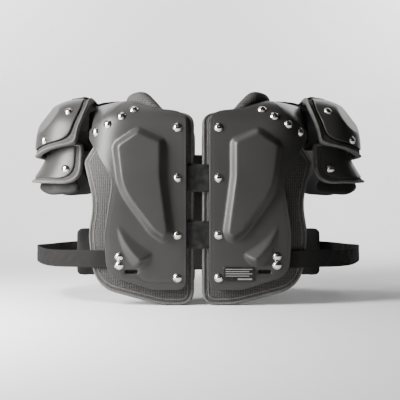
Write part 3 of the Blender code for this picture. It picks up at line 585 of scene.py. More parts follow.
# %% [markdown]
# ### Fabrics
# Air mesh is a knit full of small holes, so it is a cell texture on the
# pattern's coordinates. Binding tape has ribs across its length. Webbing and the
# cups' border cloth are plain weaves, two sets of threads at right angles. The
# black lining is a creased cloth without a visible weave.
# %% Soft finishes
def air_mesh():
    material, tree, shader = blank_finish("grey air mesh", (0.06, 0.058, 0.055), 0.9)
    vector = cloth_axes(tree)[0]
    rows = add_node(tree, "ShaderNodeMapping", {"Vector": vector, "Scale": (1.0, 1.6, 1.0)})
    holes = add_node(tree, "ShaderNodeTexVoronoi",
                     {"Vector": rows.outputs[0], "Scale": 300.0, "Randomness": 0.2})
    edge = spread(tree, holes.outputs["Distance"], 0.0, 1.0, 0.12, 0.50)
    fuzz = noise(tree, vector, 90.0, 4.0)
    height = combined(tree, "ADD", edge, spread(tree, fuzz, 0.0, 0.5))
    tinted(tree, shader, edge, (0.005, 0.0049, 0.0047), (0.060, 0.058, 0.055))
    roughened(tree, shader, fuzz, 0.78, 0.98)
    shader.inputs["Specular IOR Level"].default_value = 0.2
    bumped(tree, shader, height, 0.55, 0.6 * MM)
    return material


def binding_tape():
    material, tree, shader = blank_finish("ribbed binding tape", (0.11, 0.107, 0.102), 0.85)
    ribs = sine_lines(tree, cloth_axes(tree)[1], 1.7 * MM)
    dirt = noise(tree, object_place(tree), 160.0, 4.0)
    # painted shade and highlight: the ribs' grooves are painted darker and their crests paler, mixed with
    # random dirt
    rib_shade_and_dirt = combined(tree, "MULTIPLY", ribs, dirt)
    tinted(tree, shader, rib_shade_and_dirt, (0.042, 0.0407, 0.0386), (0.240, 0.233, 0.221))
    roughened(tree, shader, dirt, 0.72, 0.95)
    shader.inputs["Specular IOR Level"].default_value = 0.3
    bumped(tree, shader, ribs, 0.5, 0.5 * MM)
    return material


def woven(name, dark, light, pitch, gloss):
    """A plain weave of two sets of threads."""
    material, tree, shader = blank_finish(name, dark, 0.8)
    warp, weft = (sine_lines(tree, way, pitch) for way in cloth_axes(tree)[1:])
    threads = combined(tree, "MULTIPLY", warp, weft)
    patches = noise(tree, object_place(tree), 55.0, 5.0)
    tinted(tree, shader, combined(tree, "MULTIPLY", threads, patches), dark, light)
    roughened(tree, shader, patches, 0.62, 0.88)
    shader.inputs["Specular IOR Level"].default_value = gloss
    bumped(tree, shader, threads, 0.4, 0.4 * MM)
    return material


def creased_nylon():
    """Black lining cloth, on object coordinates because simulation loses the pattern's; its crease hollows
    carry painted shade.
    """
    material, tree, shader = blank_finish("black lining cloth", (0.012, 0.012, 0.012), 0.7)
    place = object_place(tree)
    creases_and_shade = noise(tree, place, 70.0, 6.0)
    grain = noise(tree, place, 1300.0, 2.0)
    height = combined(tree, "ADD", creases_and_shade, spread(tree, grain, 0.0, 0.12))
    # painted shade: the colour darkens in the crease hollows, where the bump is low
    tinted(tree, shader, creases_and_shade, (0.006, 0.006, 0.006), (0.024, 0.0235, 0.023))
    roughened(tree, shader, creases_and_shade, 0.50, 0.80)
    shader.inputs["Specular IOR Level"].default_value = 0.2
    bumped(tree, shader, height, 0.5, 1.5 * MM)
    return material


def coated_strap():
    """Black coated strap with scuffed faces and paler worn edges."""
    material, tree, shader = blank_finish("black coated strap", (0.028, 0.027, 0.026), 0.6)
    read = add_node(tree, "ShaderNodeAttribute", attribute_name="edge")
    worn = spread(tree, read.outputs["Fac"], 1.0, 0.0, 0.0, 1.4 * MM)
    place = object_place(tree)
    scuffs = noise(tree, place, 130.0, 7.0)
    mottle = spread(tree, scuffs, 0.0, 1.0, 0.38, 0.66)
    share = combined(tree, "ADD", mottle, worn, use_clamp=True)
    tinted(tree, shader, share, (0.0035, 0.0034, 0.0032), (0.012, 0.0116, 0.011))
    roughened(tree, shader, scuffs, 0.34, 0.66)
    shader.inputs["Specular IOR Level"].default_value = 0.25
    bumped(tree, shader, scuffs, 0.45, 0.7 * MM)
    return material


def sewing_thread():
    material, tree, shader = blank_finish("sewing thread", (0.09, 0.087, 0.083), 0.6)
    twist = noise(tree, object_place(tree), 900.0, 2.0)
    tinted(tree, shader, twist, (0.006, 0.0058, 0.0055), (0.030, 0.029, 0.028))
    bumped(tree, shader, twist, 0.3, 0.2 * MM)
    return material


def label_film():
    material, tree, shader = blank_finish("blank label film", (0.11, 0.107, 0.102), 0.5)
    fleck = noise(tree, object_place(tree), 700.0, 3.0)
    tinted(tree, shader, fleck, (0.130, 0.127, 0.121), (0.240, 0.234, 0.223))
    roughened(tree, shader, fleck, 0.40, 0.60)
    bumped(tree, shader, fleck, 0.1, 0.2 * MM)
    return material


AIR_MESH = air_mesh()
BINDING = binding_tape()
WEBBING = woven("elastic webbing", (0.007, 0.0068, 0.0065), (0.042, 0.041, 0.039), 1.3 * MM, 0.1)
BAND_CLOTH = woven("cup border cloth", (0.030, 0.029, 0.0275), (0.115, 0.111, 0.106), 1.1 * MM, 0.2)
NYLON = creased_nylon()
COATED = coated_strap()
THREAD = sewing_thread()
LABEL = label_film()
print("soft finishes:", ", ".join(m.name for m in (AIR_MESH, BINDING, WEBBING, NYLON, COATED)))


# %% [markdown]
# ## Putting a piece in the scene
# Each shape becomes one mesh object at the origin. It rides on a CAD body, or,
# when it is given a bend, stays fixed in place, and hides the plain solids that it stands for.
# %% Making an object of a shape
SIDES = (("left", False), ("right", True))
made_pieces = []


def to_mesh(name, shape, material):
    mesh = bpy.data.meshes.new(name)
    mesh.from_pydata(shape["points"].tolist(), [], shape["faces"].tolist())
    cloth = mesh.attributes.new("cloth", "FLOAT_VECTOR", "POINT")
    cloth.data.foreach_set("vector", np.ascontiguousarray(shape["cloth"], np.float32).ravel())
    edge = mesh.attributes.new("edge", "FLOAT", "POINT")
    edge.data.foreach_set("value", np.ascontiguousarray(shape["edge"], np.float32))
    work = bmesh.new()
    work.from_mesh(mesh)
    bmesh.ops.remove_doubles(work, verts=work.verts, dist=1e-6)
    work.to_mesh(mesh)
    work.free()
    mesh.materials.append(material)
    mesh.shade_smooth()
    return mesh


def settle(piece, body, nodes, bend=None):
    """Give a finished piece its body, or keep it fixed in place when a bend is given, and hide the parts that
    it stands for.
    """
    if bend:
        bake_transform(piece)
    else:
        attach(piece, body)
    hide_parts(*nodes)
    made_pieces.append(piece)
    return piece


def add_piece(name, shape, material, body, nodes, bend=None, sharp=None):
    mesh = to_mesh(name, shape, material)
    if sharp:
        mesh.set_sharp_from_angle(angle=math.radians(sharp))
    return settle(in_scene(name, mesh), body, nodes, bend)


# %% [markdown]
# ## The moulded plates
# Each plate carries a raised shield, and a front plate also has a fin over its
# strap slot. The relief is a height that depends on the distance to an outline,
# which gives even bevels round any shape. Sculpting could not keep them even.
# %% The raised shapes
SHIELD = rounded([
    (0.0480, PLATE_BOTTOM + 0.0640, 0.020), (0.0680, PLATE_BOTTOM + 0.0780, 0.030),
    (0.1130, PLATE_BOTTOM + 0.1380, 0.090), (PLATE_SIDE - 0.0115, ROLL_START - 0.0030, 0.018),
    (0.0850, ROLL_START + 0.0210, 0.012), (0.0440, ROLL_START + 0.0030, 0.014),
    (0.0440, ROLL_START - 0.0500, 0.090), (0.0330, PLATE_BOTTOM + 0.0760, 0.018),
])
SHIELD_HEIGHT, SHIELD_BEVEL = 9.0 * MM, 10.5 * MM
FIN_TIP = np.array([0.1125, PLATE_BOTTOM + 0.0900])
FIN_NOSE = np.array([0.0810, PLATE_BOTTOM + 0.0420])
FIN_HEIGHT = 10.0 * MM
SLOT = (0.0936, 0.0483)
SHELF = ((0.0330, 0.0340), (0.0740, 0.0340), (0.0835, 0.0415))
BEVEL_SOFTNESS = 0.16               # the share of a bevel that is rounded at each end


def shield_relief(points):
    loop = spaced(SHIELD, 1.5 * MM)
    depth = np.where(inside(points, loop), distance_to(points, [loop]), 0.0)
    share = np.clip(depth / SHIELD_BEVEL, 0.0, 1.0)
    corner = BEVEL_SOFTNESS
    softened = np.where(share < corner, share ** 2 / (2 * corner), share - corner / 2)
    past = np.maximum(share - (1 - corner), 0.0)
    softened = softened - past ** 2 / (2 * corner)
    return SHIELD_HEIGHT * softened / (1 - corner)


def fin_relief(points):
    """A ramp that grows from its tip to a rounded nose, under a sharp ridge."""
    along = FIN_NOSE - FIN_TIP
    length = np.linalg.norm(along)
    away = points - FIN_TIP
    share = away @ along / length ** 2
    off = (away[:, 0] * along[1] - away[:, 1] * along[0]) / length
    off = off + 0.0035 * np.sin(np.clip(share, 0, 1) * math.pi)
    wide = np.where(off > 0, 0.0190, 0.0125)
    ridge = np.sqrt(off ** 2 + 0.0008 ** 2) - 0.0008
    ramp = share * np.maximum(0.0, 1 - ridge / (wide * (0.15 + 0.85 * np.clip(share, 0, 1))))
    past = (share - 1.0) * length
    nose = np.maximum(0.0, 1 - np.hypot(ridge / wide, past / 0.0085))
    height = np.where(share <= 0, 0.0, np.where(share <= 1, ramp, nose))
    return FIN_HEIGHT * height ** 1.08


def slot_recess(points):
    """The dish round the strap slot, and the shallow shelf below it."""
    away = points - np.array(SLOT)
    off = np.hypot(np.maximum(np.abs(away[:, 0]) - 0.0060, 0.0), away[:, 1])
    dish = -0.9 * MM * (1 - eased(0.0042, 0.0066, off))
    shelf = distance_to(points, [np.array(SHELF)], closed=False)
    return dish - 0.5 * MM * np.exp(-(shelf / 0.0009) ** 2)


def rim_line(flat):
    """The thin step that runs round a plate just inside its edge."""
    return -0.45 * MM * np.exp(-((flat.edge - 3.6 * MM) / (0.7 * MM)) ** 2)


# %% The plate patterns
def plate_outline():
    neck, waist = ROLL_START + 0.045, ROLL_START - 0.054
    return rounded([
        (PLATE_INNER, PLATE_BOTTOM, 0.016), (0.0620, PLATE_BOTTOM, 0.080),
        (PLATE_SIDE - 0.0045, PLATE_BOTTOM + 0.0210, 0.028), (PLATE_SIDE, PLATE_BOTTOM + 0.0775, 0.060),
        (0.1205, waist, 0.030), (ARMHOLE_X, ROLL_START + 0.0040, 0.004),
        (ARMHOLE_X, ROLL_START + 0.0230, 0.010), (0.1260, neck + 0.0015, 0.020),
        (0.1045, neck + 0.0360, 0.006), (0.0875, neck + 0.0215, 0.030),
        (0.0620, neck + 0.0065, 0.020), (PLATE_INNER, neck, 0.044),
    ])


def slot_hole():
    half, radius = 0.0063, 0.0027
    x, v = SLOT
    return box_outline(x - half - radius, v - radius, x + half + radius, v + radius, radius)


def plate_shape(front):
    holes = [slot_hole()] if front else []
    shield = spaced(SHIELD, 1.5 * MM)
    follow = [shield, inset(shield, SHIELD_BEVEL * 0.5), inset(shield, SHIELD_BEVEL)]
    flat = Pattern(plate_outline(), 2.3 * MM, holes, follow)
    outer, inner = rounded_edge(flat, PLASTIC_EDGE, PLATE)
    relief = shield_relief(flat.points) + rim_line(flat)
    if front:
        relief = relief + fin_relief(flat.points) + slot_recess(flat.points)
    return sheet_shape(flat, outer + relief, inner + relief, on_body)


front_plate = plate_shape(True)
back_plate = plate_shape(False)
for side, flip in SIDES:
    add_piece(side + "_chest_plate", turned(front_plate, flip), PLASTIC, side + "_half",
              [side + "_front_plate"])
    add_piece(side + "_shoulder_blade_plate", turned(back_plate, flip, True), PLASTIC, side + "_half",
              [side + "_back_plate"])
print("a chest plate has", len(front_plate["faces"]), "triangles")


# %% [markdown]
# ### The shoulder arch
# A plain strip of the same plastic that joins the plates over the shoulder.
# %% Shoulder arch
def arch_outline():
    half = [(0.0825, ROLL_START + 0.0410, 0.006), (0.1500, ROLL_START + 0.0045, 0.006),
            (ARMHOLE_X, ROLL_START + 0.0300, 0.020)]
    neck = [(0.1130, ROLL_START + 0.1300, 0.030), (0.0985, ROLL_START + 0.0770, 0.030),
            (0.0825, ROLL_START + 0.0540, 0.006)]
    back = [(x, 2 * CREST - v, r) for x, v, r in reversed(half)]
    back_neck = [(x, 2 * CREST - v, r) for x, v, r in reversed(neck)]
    return rounded(half + back + back_neck + neck)


flat = Pattern(arch_outline(), 3.0 * MM)
arch = sheet_shape(flat, *rounded_edge(flat, PLASTIC_EDGE, ARCH), on_body)
for side, flip in SIDES:
    add_piece(side + "_arch", turned(arch, flip), PLASTIC, side + "_half",
              [side + "_shoulder_arch"])


# %% [markdown]
# ## Blowing up cloth
# A stuffed pad is a cloth skin under pressure, so Blender's cloth solver makes
# its swell: seams and bound edges are pinned, pressure lifts the rest, and a
# cap on the movement keeps each pad inside its own layer. A coarse shape is
# first remeshed into even cells; a pattern's own triangles are even already.
# %% The cloth solver
VOXEL = 4.0 * MM
FRAMES = 20
UNBOUND = 10.0 * MM                 # the edge distance of a skin without an edge


def evaluated(thing):
    depsgraph = bpy.context.evaluated_depsgraph_get()
    return bpy.data.meshes.new_from_object(thing.evaluated_get(depsgraph), depsgraph=depsgraph)


def points_of(mesh):
    flat = np.empty(len(mesh.vertices) * 3, np.float32)
    mesh.vertices.foreach_get("co", flat)
    return flat.reshape(-1, 3).astype(float)


def simulate(thing, pressure, limit, held):
    """Move an object's points to where the pressure takes them, up to a limit."""
    start = points_of(thing.data)
    cloth = thing.modifiers.new("cloth", "CLOTH")
    cloth.settings.quality = 5
    cloth.settings.mass = 0.3
    cloth.settings.tension_stiffness = cloth.settings.compression_stiffness = 12
    cloth.settings.bending_stiffness = 0.4
    cloth.settings.use_pressure = True
    cloth.settings.uniform_pressure_force = pressure
    cloth.settings.effector_weights.gravity = 0
    cloth.point_cache.frame_end = FRAMES
    group = thing.vertex_groups.new(name="held")
    group.add(np.nonzero(held)[0].tolist(), 1.0, "REPLACE")
    cloth.settings.vertex_group_mass = "held"
    for step in range(1, FRAMES + 1):
        bpy.context.scene.frame_set(step)
    moved = points_of(evaluated(thing)) - start
    size = np.maximum(np.linalg.norm(moved, axis=1), 1e-9)
    thing.modifiers.clear()
    bpy.context.scene.frame_set(1)
    return start + moved * np.minimum(1.0, limit / size)[:, None]


def swollen(shape, pressure, limit, held):
    """A patterned pad, swollen; held picks the sewn points from the shape."""
    mesh = bpy.data.meshes.new("work")
    mesh.from_pydata(shape["points"].tolist(), [], shape["faces"].tolist())
    thing = in_scene("work", mesh)
    points = simulate(thing, pressure, limit, held(shape))
    bpy.data.objects.remove(thing)
    return {**shape, "points": points}


def blown_up(shape, pressure, limit, held):
    """A stuffed skin made of even cells; held picks fixed points by place."""
    thing = in_scene("work", to_mesh("work", shape, NYLON))
    cells = thing.modifiers.new("cells", "REMESH")
    cells.mode = "VOXEL"
    cells.voxel_size = VOXEL
    mesh = evaluated(thing)
    thing.modifiers.clear()
    thing.data = mesh
    fixed = held(points_of(mesh))
    mesh.vertices.foreach_set("co", simulate(thing, pressure, limit, fixed).astype(np.float32).ravel())
    thing.vertex_groups.clear()
    finer = thing.modifiers.new("finer", "SUBSURF")
    finer.levels = finer.render_levels = 1
    mesh = evaluated(thing)
    mesh.calc_loop_triangles()
    points = points_of(mesh)
    faces = np.array([t.vertices for t in mesh.loop_triangles])
    bpy.data.objects.remove(thing)
    return {"points": points, "faces": facing_out(points, faces), "cloth": points.copy(),
            "edge": np.full(len(points), UNBOUND)}


# %% [markdown]
# ## Body pads
# Each plate lies on a larger pad of foam between two faces of air mesh. Its rim
# is bound with a rolled tape. The pad's face is held down by two rows of
# stitches, so it swells a little between them.
# %% Body pads
def body_pad_outline():
    top, side = ROLL_START + 0.0300, PLATE_SIDE + 0.0275
    return rounded([
        (PAD_INNER, 0.0, 0.032), (0.0500, 0.0, 0.100), (side - 0.0100, 0.0260, 0.050),
        (side, 0.1000, 0.080), (side - 0.0080, 0.1450, 0.080),
        (ARMHOLE_X + 0.0190, ROLL_START - 0.0270, 0.008), (ARMHOLE_X - 0.0050, ROLL_START + 0.0040, 0.012),
        (ARMHOLE_X - 0.0050, top, 0.008), (0.0900, top, 0.008), (0.0660, ROLL_START + 0.0480, 0.010),
        (0.0580, ROLL_START + 0.0600, 0.010), (PAD_INNER, ROLL_START + 0.0540, 0.060),
    ])


PAD_RIM = 5.0 * MM
PAD_LINE = body_pad_outline()
flat = Pattern(PAD_LINE, 3.2 * MM, rim=PAD_RIM)
outer, inner = soft_edge(flat, PAD, PAD_RIM)
pull = groove(flat, SEWN_LINES[0], 0.9 * MM, 2.2 * MM) + groove(flat, SEWN_LINES[1], 0.8 * MM, 1.0 * MM)
body_pad = swollen(sheet_shape(flat, outer + pull, inner, on_body), 2.5, 2.0 * MM,
                   lambda shape: ((shape["edge"] < SEWN_LINES[0] + 1.3 * MM)
                                  | (np.abs(shape["edge"] - SEWN_LINES[1]) < 1.5 * MM)))


def bound_edge(line, form, depths, roll, tape):
    """A rolled edge and, inside its stitches, the flat edge of the folded tape."""
    middle, half = sum(depths) / 2, (depths[0] - depths[1]) / 2
    fine = spaced(line, 2.0 * MM)
    around = spaced(inset(fine, roll * 0.85), 2.6 * MM)
    rolled = swept(around, roll, half + 0.8 * MM, middle, form, 16)
    around = spaced(inset(fine, tape), 2.6 * MM)
    return joined(rolled, swept(around, 1.0 * MM, 1.0 * MM, depths[0] - 0.5 * MM, form, 8))


binding = bound_edge(PAD_LINE, on_body, PAD, 3.0 * MM, 8.6 * MM)
for side, flip in SIDES:
    for place, back in (("chest", False), ("back", True)):
        node = side + ("_back" if back else "_front") + "_body_pad"
        add_piece(f"{side}_{place}_padding", turned(body_pad, flip, back), AIR_MESH, side + "_half",
                  [node])
        add_piece(f"{side}_{place}_padding_binding", turned(binding, flip, back), BINDING, side + "_half",
                  [node])
print("a body pad has", len(body_pad["faces"]), "triangles")

# %% [markdown]
# ### Shoulder pad, spine pad and arm pad
# These are lining pads that show only at their edges. The spine and arm pads are
# swollen by the solver, and the shoulder pad is a plain sheet with a round rim.
# %% Lining pads
outline = box_outline(0.1140, ROLL_START + 0.034, ARMHOLE_X + 0.017, 2 * CREST - ROLL_START - 0.034, 0.014)
flat = Pattern(outline, 4.0 * MM, rim=PAD_RIM)
shoulder_pad = sheet_shape(flat, *soft_edge(flat, PAD, PAD_RIM), on_body)
for side, flip in SIDES:
    add_piece(side + "_shoulder_lining", turned(shoulder_pad, flip), NYLON, side + "_half",
              [side + "_shoulder_pad"])

SPINE = (PAD[1] - 1.0 * MM, PAD[1] - 13.0 * MM)
SPINE_RIM = 5.5 * MM
SPINE_RIB = 28.0 * MM               # from one cross seam of the spine pad to the next
outline = box_outline(-0.040, 0.030, 0.040, ROLL_START - 0.006, 0.015)
flat = Pattern(outline, 4.0 * MM, rim=SPINE_RIM)
outer, inner = soft_edge(flat, SPINE, SPINE_RIM)
ribs = 1.4 * MM * (1 - np.abs(np.sin(flat.points[:, 1] * math.pi / SPINE_RIB)) ** 0.5)
spine = swollen(sheet_shape(flat, outer, inner + ribs * (flat.edge > 5 * MM), on_body), 2.5, 1.5 * MM,
                lambda shape: shape["edge"] < 4.0 * MM)
add_piece("spine_lining", turned(spine, False, True), NYLON, "left_half", ["spine_pad"])


def arm_pad_outline():
    low, high = LOWER_BOTTOM - 0.0240, LOWER_BOTTOM + 0.0250
    return rounded([(-0.138, low + 0.004, 0.016), (-0.080, low, 0.050), (0.0, low + 0.022, 0.100),
                    (0.080, low, 0.050), (0.138, low + 0.004, 0.016),
                    (0.098, high, 0.012), (-0.098, high, 0.012)])


ARM_PAD = (-15.0 * MM, -23.0 * MM)
ARM_PAD_RIM = 4.0 * MM
flat = Pattern(arm_pad_outline(), 3.5 * MM, rim=ARM_PAD_RIM)
outer, inner = soft_edge(flat, ARM_PAD, ARM_PAD_RIM)
ripple = 0.9 * MM * np.sin(flat.points[:, 0] * 160) * eased(0.0, 0.012, flat.edge)
arm_pad = swollen(sheet_shape(flat, outer + ripple, inner + ripple, on_lower_cup), 2.5, 1.5 * MM,
                  lambda shape: shape["edge"] < 3.0 * MM)
for side, flip in SIDES:
    add_piece(side + "_arm_lining", turned(arm_pad, flip), NYLON, side + "_upper_cup",
              [side + "_deltoid_pad"])

# %% [markdown]
# ## Side wings and collar
# Both are stuffed cloth shapes, swollen by the cloth solver. The wing is a
# pleated flap, and the collar a long roll that is thick where it shows.
# %% The side wings
WING_HALF = 4.0 * MM                # half its thickness before it is swollen
WING_TURN = math.radians(20.0)      # how far it turns forwards
WING_LAP = 4.5 * MM                 # from the point where it is sewn to its pattern's start
wing_start = on_body(np.array([PLATE_SIDE + 0.0275]), np.array([0.060]), np.array([sum(PAD) / 2]))[0]
wing_start[1] *= -1


def on_wing(u, v, depth):
    """The wing runs out from the back pad's edge, turned forwards a little."""
    run = np.array([math.cos(WING_TURN), -math.sin(WING_TURN)])
    across = np.array([math.sin(WING_TURN), math.cos(WING_TURN)])
    spot = wing_start[:2] + run * (u + WING_LAP)[:, None] + across * depth[:, None]
    return np.column_stack([spot, v])


flat = Pattern(box_outline(-0.006, 0.0205, 0.0500, 0.1025, 0.012), 2.5 * MM, rim=WING_HALF)
outer, inner = soft_edge(flat, (WING_HALF, -WING_HALF), WING_HALF)
fan = np.arctan2(flat.points[:, 1] - 0.0615, flat.points[:, 0] + 0.010)
pleats = 1.1 * MM * np.sin(fan * 16) * eased(0.048, 0.010, flat.points[:, 0]) * eased(0, 0.01, flat.edge)
wing = blown_up(sheet_shape(flat, outer + pleats, inner + pleats * 0.5, on_wing), 3.0, 3.0 * MM,
                lambda p: p[:, 0] < wing_start[0] + 0.004)
for side, flip in SIDES:
    add_piece(side + "_side_wing", turned(wing, flip), NYLON, side + "_half",
              [side + "_side_wing_pad"])

# %% The collar rolls
COLLAR_SIDES = 20
CAP_SHARE = 0.035                   # the share of its length over which each end closes
# x, height over the roll's start, depth and radius, the last two in millimetres
COLLAR = [(0.0470, 0.0490, -9.5, 5.5), (0.0550, 0.0570, -9.5, 8.0), (0.0630, 0.0650, -7.5, 10.5),
          (0.0720, 0.0750, -4.5, 12.5), (0.0810, 0.0860, -1.5, 14.0), (0.0920, 0.1040, -4.0, 13.5),
          (0.0995, 0.1380, -6.0, 12.0)]
front_half = [(x, ROLL_START + v, d * MM, r * MM) for x, v, d, r in COLLAR]
back_half = [(x, 2 * CREST - v, d, r) for x, v, d, r in reversed(front_half)]
collar_route = smooth_route(front_half + [(0.1000, CREST, -6.0 * MM, 11.5 * MM)] + back_half, 8)


def collar_shape(shrink):
    """A tube along the neck edge, thick at the front and back, closed at its ends."""
    centres = on_body(collar_route[:, 0], collar_route[:, 1], collar_route[:, 2])
    count = len(centres)
    share = np.linspace(0, 1, count)
    cap = np.sqrt(np.clip(1 - np.maximum(1 - np.minimum(share, 1 - share) / CAP_SHARE, 0) ** 2, 0.02, 1))
    radius = (collar_route[:, 3] - shrink) * cap
    run = unit(np.gradient(centres, axis=0))
    out = on_body(collar_route[:, 0], collar_route[:, 1], collar_route[:, 2] + 1.0 * MM) - centres
    out = unit(out - run * (out * run).sum(1)[:, None])
    side_way = np.cross(run, out)
    points = []
    for angle in np.arange(COLLAR_SIDES) * 2 * math.pi / COLLAR_SIDES:
        points.append(centres + (out * math.cos(angle) + side_way * math.sin(angle)) * radius[:, None])
    points = np.stack(points, 1).reshape(-1, 3)
    faces = tube_faces(count, COLLAR_SIDES, False)
    return {"points": points, "faces": facing_out(points, faces), "cloth": points.copy(),
            "edge": np.full(len(points), UNBOUND)}


collar = blown_up(collar_shape(1.5 * MM), 3.0, 3.0 * MM, lambda p: p[:, 2] < 0.0)
for side, flip in SIDES:
    add_piece(side + "_collar", turned(collar, flip), AIR_MESH, side + "_half",
              [side + "_collar_roll"])
print("a collar has", len(collar["faces"]), "triangles")

# %% [markdown]
# ## The shoulder cups
# A cup is a plastic shell on a padded border. The border shows as a flat band
# of cloth with a row of stitches, and ends in a roll of binding tape.
# %% Cup shells and borders
CUP_SHELL = (0.0, -2.4 * MM)
CUP_PAD = (-5.2 * MM, -10.7 * MM)
BORDER = 13.0 * MM
STITCH_INSET = 8.0 * MM


def upper_outline():
    degree = math.radians(1) * CUP_UNIT
    corners = [(9, 55, 0.040), (38, 71, 0.080), (68, 66, 0.060), (83.5, 42, 0.090)]
    front = [(u * degree, v * degree, radius) for u, v, radius in corners]
    return rounded([(u, -v, radius) for u, v, radius in front] + front[::-1], 16)


def lower_outline(edge, top):
    reach = math.radians(78) * LOWER_UNIT + edge
    bottom, corner = LOWER_BOTTOM - edge * 0.8, 0.042 + edge
    return rounded([(-reach, bottom, corner), (0.0, bottom + 0.005, 0.150), (reach, bottom, corner),
                    (reach, top, 0.006), (-reach, top, 0.006)], 16)


def cup_shapes(outline, border, form):
    flat = Pattern(outline, 2.6 * MM)
    shell = sheet_shape(flat, *rounded_edge(flat, PLASTIC_EDGE, CUP_SHELL), form)
    flat = Pattern(border, 3.0 * MM, rim=3.0 * MM)
    outer, inner = soft_edge(flat, CUP_PAD, 3.0 * MM)
    lift = 3.4 * MM * eased(BORDER + 1.0 * MM, BORDER - 3.0 * MM, flat.edge)
    outer = outer + lift * eased(0.0, 3.0 * MM, flat.edge) + groove(flat, STITCH_INSET, 0.9 * MM, 0.9 * MM)
    band = swollen(sheet_shape(flat, outer, inner, form), 2.0, 1.0 * MM,
                   lambda shape: np.abs(shape["edge"] - BORDER / 2) > 4.0 * MM)
    path = spaced(inset(spaced(border, 2.0 * MM), 2.4 * MM), 2.5 * MM)
    roll = swept(path, 2.6 * MM, 5.4 * MM, sum(CUP_PAD) / 2 + 3.4 * MM, form, 14)
    return shell, band, roll


upper_border = inset(spaced(upper_outline(), 1.5 * MM), -BORDER)
upper_shell, upper_band, upper_roll = cup_shapes(upper_outline(), upper_border, on_upper_cup)
lower_border = lower_outline(BORDER * 0.8, LOWER_TOP - 0.004)
lower_shell, lower_band, lower_roll = cup_shapes(lower_outline(0.0, LOWER_TOP - 0.004), lower_border,
                                                 on_lower_cup)
for side, flip in SIDES:
    for level, shell, band, roll in (("upper", upper_shell, upper_band, upper_roll),
                                     ("lower", lower_shell, lower_band, lower_roll)):
        body = f"{side}_{level}_cup"
        add_piece(body + "_dome", turned(shell, flip), PLASTIC, body, [body + "_shell"])
        add_piece(body + "_border", turned(band, flip), BAND_CLOTH, body, [body + "_pad"])
        add_piece(body + "_border_roll", turned(roll, flip), BINDING, body, [body + "_pad"])
print("an upper cup dome has", len(upper_shell["faces"]), "triangles")

# %% [markdown]
# ## Straps
# Straps are flat and thin, so they are modelled directly. The chest and back
# straps cross from half to half.
# %% Chest and back straps
STRAP_HALF = 19.25 * MM             # half of the strap's width
heights = {"upper": ROLL_START - 0.052, "lower": PLATE_BOTTOM + 0.0775}
REACH = 0.052                       # half of its length, most of it under the plates


def centre_strap(height):
    outline = box_outline(-REACH, height - STRAP_HALF, REACH, height + STRAP_HALF, 0.002)
    flat = Pattern(outline, 2.2 * MM)
    outer, inner = rounded_edge(flat, 0.7 * MM, STRAP)
    x, v = flat.points.T
    wave = 0.5 * MM * np.sin(x * 210 + height * 90) * np.cos((v - height) * 120)
    ridge = 0.35 * MM * np.exp(-((np.abs(v - height) - STRAP_HALF + 2.4 * MM) / (0.8 * MM)) ** 2)
    return sheet_shape(flat, outer + wave + ridge, inner + wave, on_body)


HALF_STEP = 0.016                   # from the middle to each of the strap's two given end points
for level, height in heights.items():
    strap = centre_strap(height)
    back_nodes = [f"left_{level}_back_strap", f"right_{level}_back_strap"]
    for place, back, nodes in (("chest", False, [level + "_chest_strap"]), ("back", True, back_nodes)):
        y = HALF_DEPTH if back else -HALF_DEPTH
        ends = ((HALF_STEP, y, height), (-HALF_STEP, y, height))
        add_piece(f"{level}_{place}_band", turned(strap, False, back), COATED, None, nodes,
                  bend=("left_half", "right_half", *ends))


# %% The straps over the shoulder and inside the cups
def hinge_route():
    """From under the arch, over its edge and down onto the cup's top."""
    x = np.array([0.1190, 0.1330, 0.1480, 0.1570])
    top = on_body(x, np.full(4, CREST), np.full(4, ARCH[0] + 1.6 * MM))
    cup = on_upper_cup(np.array([0.012, 0.024, 0.036]), np.zeros(3), np.full(3, 1.4 * MM))
    return np.vstack([top[:, [0, 2]], cup[:, [0, 2]]])


def measured(points, outward):
    """A strap route's length, and what gives its spots at a place along it and a depth off it."""
    line = spaced(smooth_route(points, 10), 2.0 * MM, closed=False)
    run = unit(np.gradient(line, axis=0))
    normal = outward * np.stack([-run[:, 1], run[:, 0]], 1)
    length = lengths_along(line)

    def spots(u, depth):
        return looked_up(u, length, line) + looked_up(u, length, normal) * depth[:, None]

    return length[-1], spots


STRAP_EDGE = 0.6 * MM               # rounding of a webbing strap's edge
WEBBING_WALL = 1.9 * MM


def upright_ribbon(route, half_wide, ribs=0.0):
    """A flat strap that follows a route in x and z, wide along y."""
    length, spots = measured(route, 1)

    def form(u, v, depth):
        spot = spots(u, depth)
        return np.column_stack([spot[:, 0], v, spot[:, 1]])

    flat = Pattern(box_outline(0.0, -half_wide, length, half_wide, 1.5 * MM), 2.0 * MM)
    outer, inner = rounded_edge(flat, STRAP_EDGE, (WEBBING_WALL / 2, -WEBBING_WALL / 2))
    waves = ribs * np.sin(flat.points[:, 1] * 2 * math.pi / (4.5 * MM))
    return sheet_shape(flat, outer + waves, inner, form)


hinge_strap = upright_ribbon(hinge_route(), 0.019, 0.15 * MM)
link_route = on_lower_cup(np.zeros(5), np.linspace(LOWER_BOTTOM + 0.030, LOWER_TOP + 0.006, 5),
                          np.full(5, ARM_PAD[0] - 1.0 * MM))[:, [0, 2]]
link_strap = upright_ribbon(link_route, 0.0125)
for side, flip in SIDES:
    sign = -1 if flip else 1
    ends = ((sign * (cup_hinge.x - 0.012), 0, cup_hinge.z), (sign * (cup_hinge.x + 0.012), 0, cup_hinge.z))
    add_piece(side + "_shoulder_webbing", turned(hinge_strap, flip), WEBBING, None,
              [side + "_cup_hinge_strap"],
              bend=(side + "_half", side + "_upper_cup", *ends))
    add_piece(side + "_cup_webbing", turned(link_strap, flip), WEBBING, side + "_upper_cup",
              [side + "_cup_link_strap"])

# %% [markdown]
# ### The side straps
# One length of elastic webbing is riveted under the chest plate, loops round
# the ribs and hooks onto the back plate. Its free run bends at the plate.
# %% Side straps
STRAP_Z = 0.0655
LOOP_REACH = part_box("left_side_strap")[1].x - 1.0 * MM
EDGE_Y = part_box("left_side_strap")[1].y - 1.0 * MM


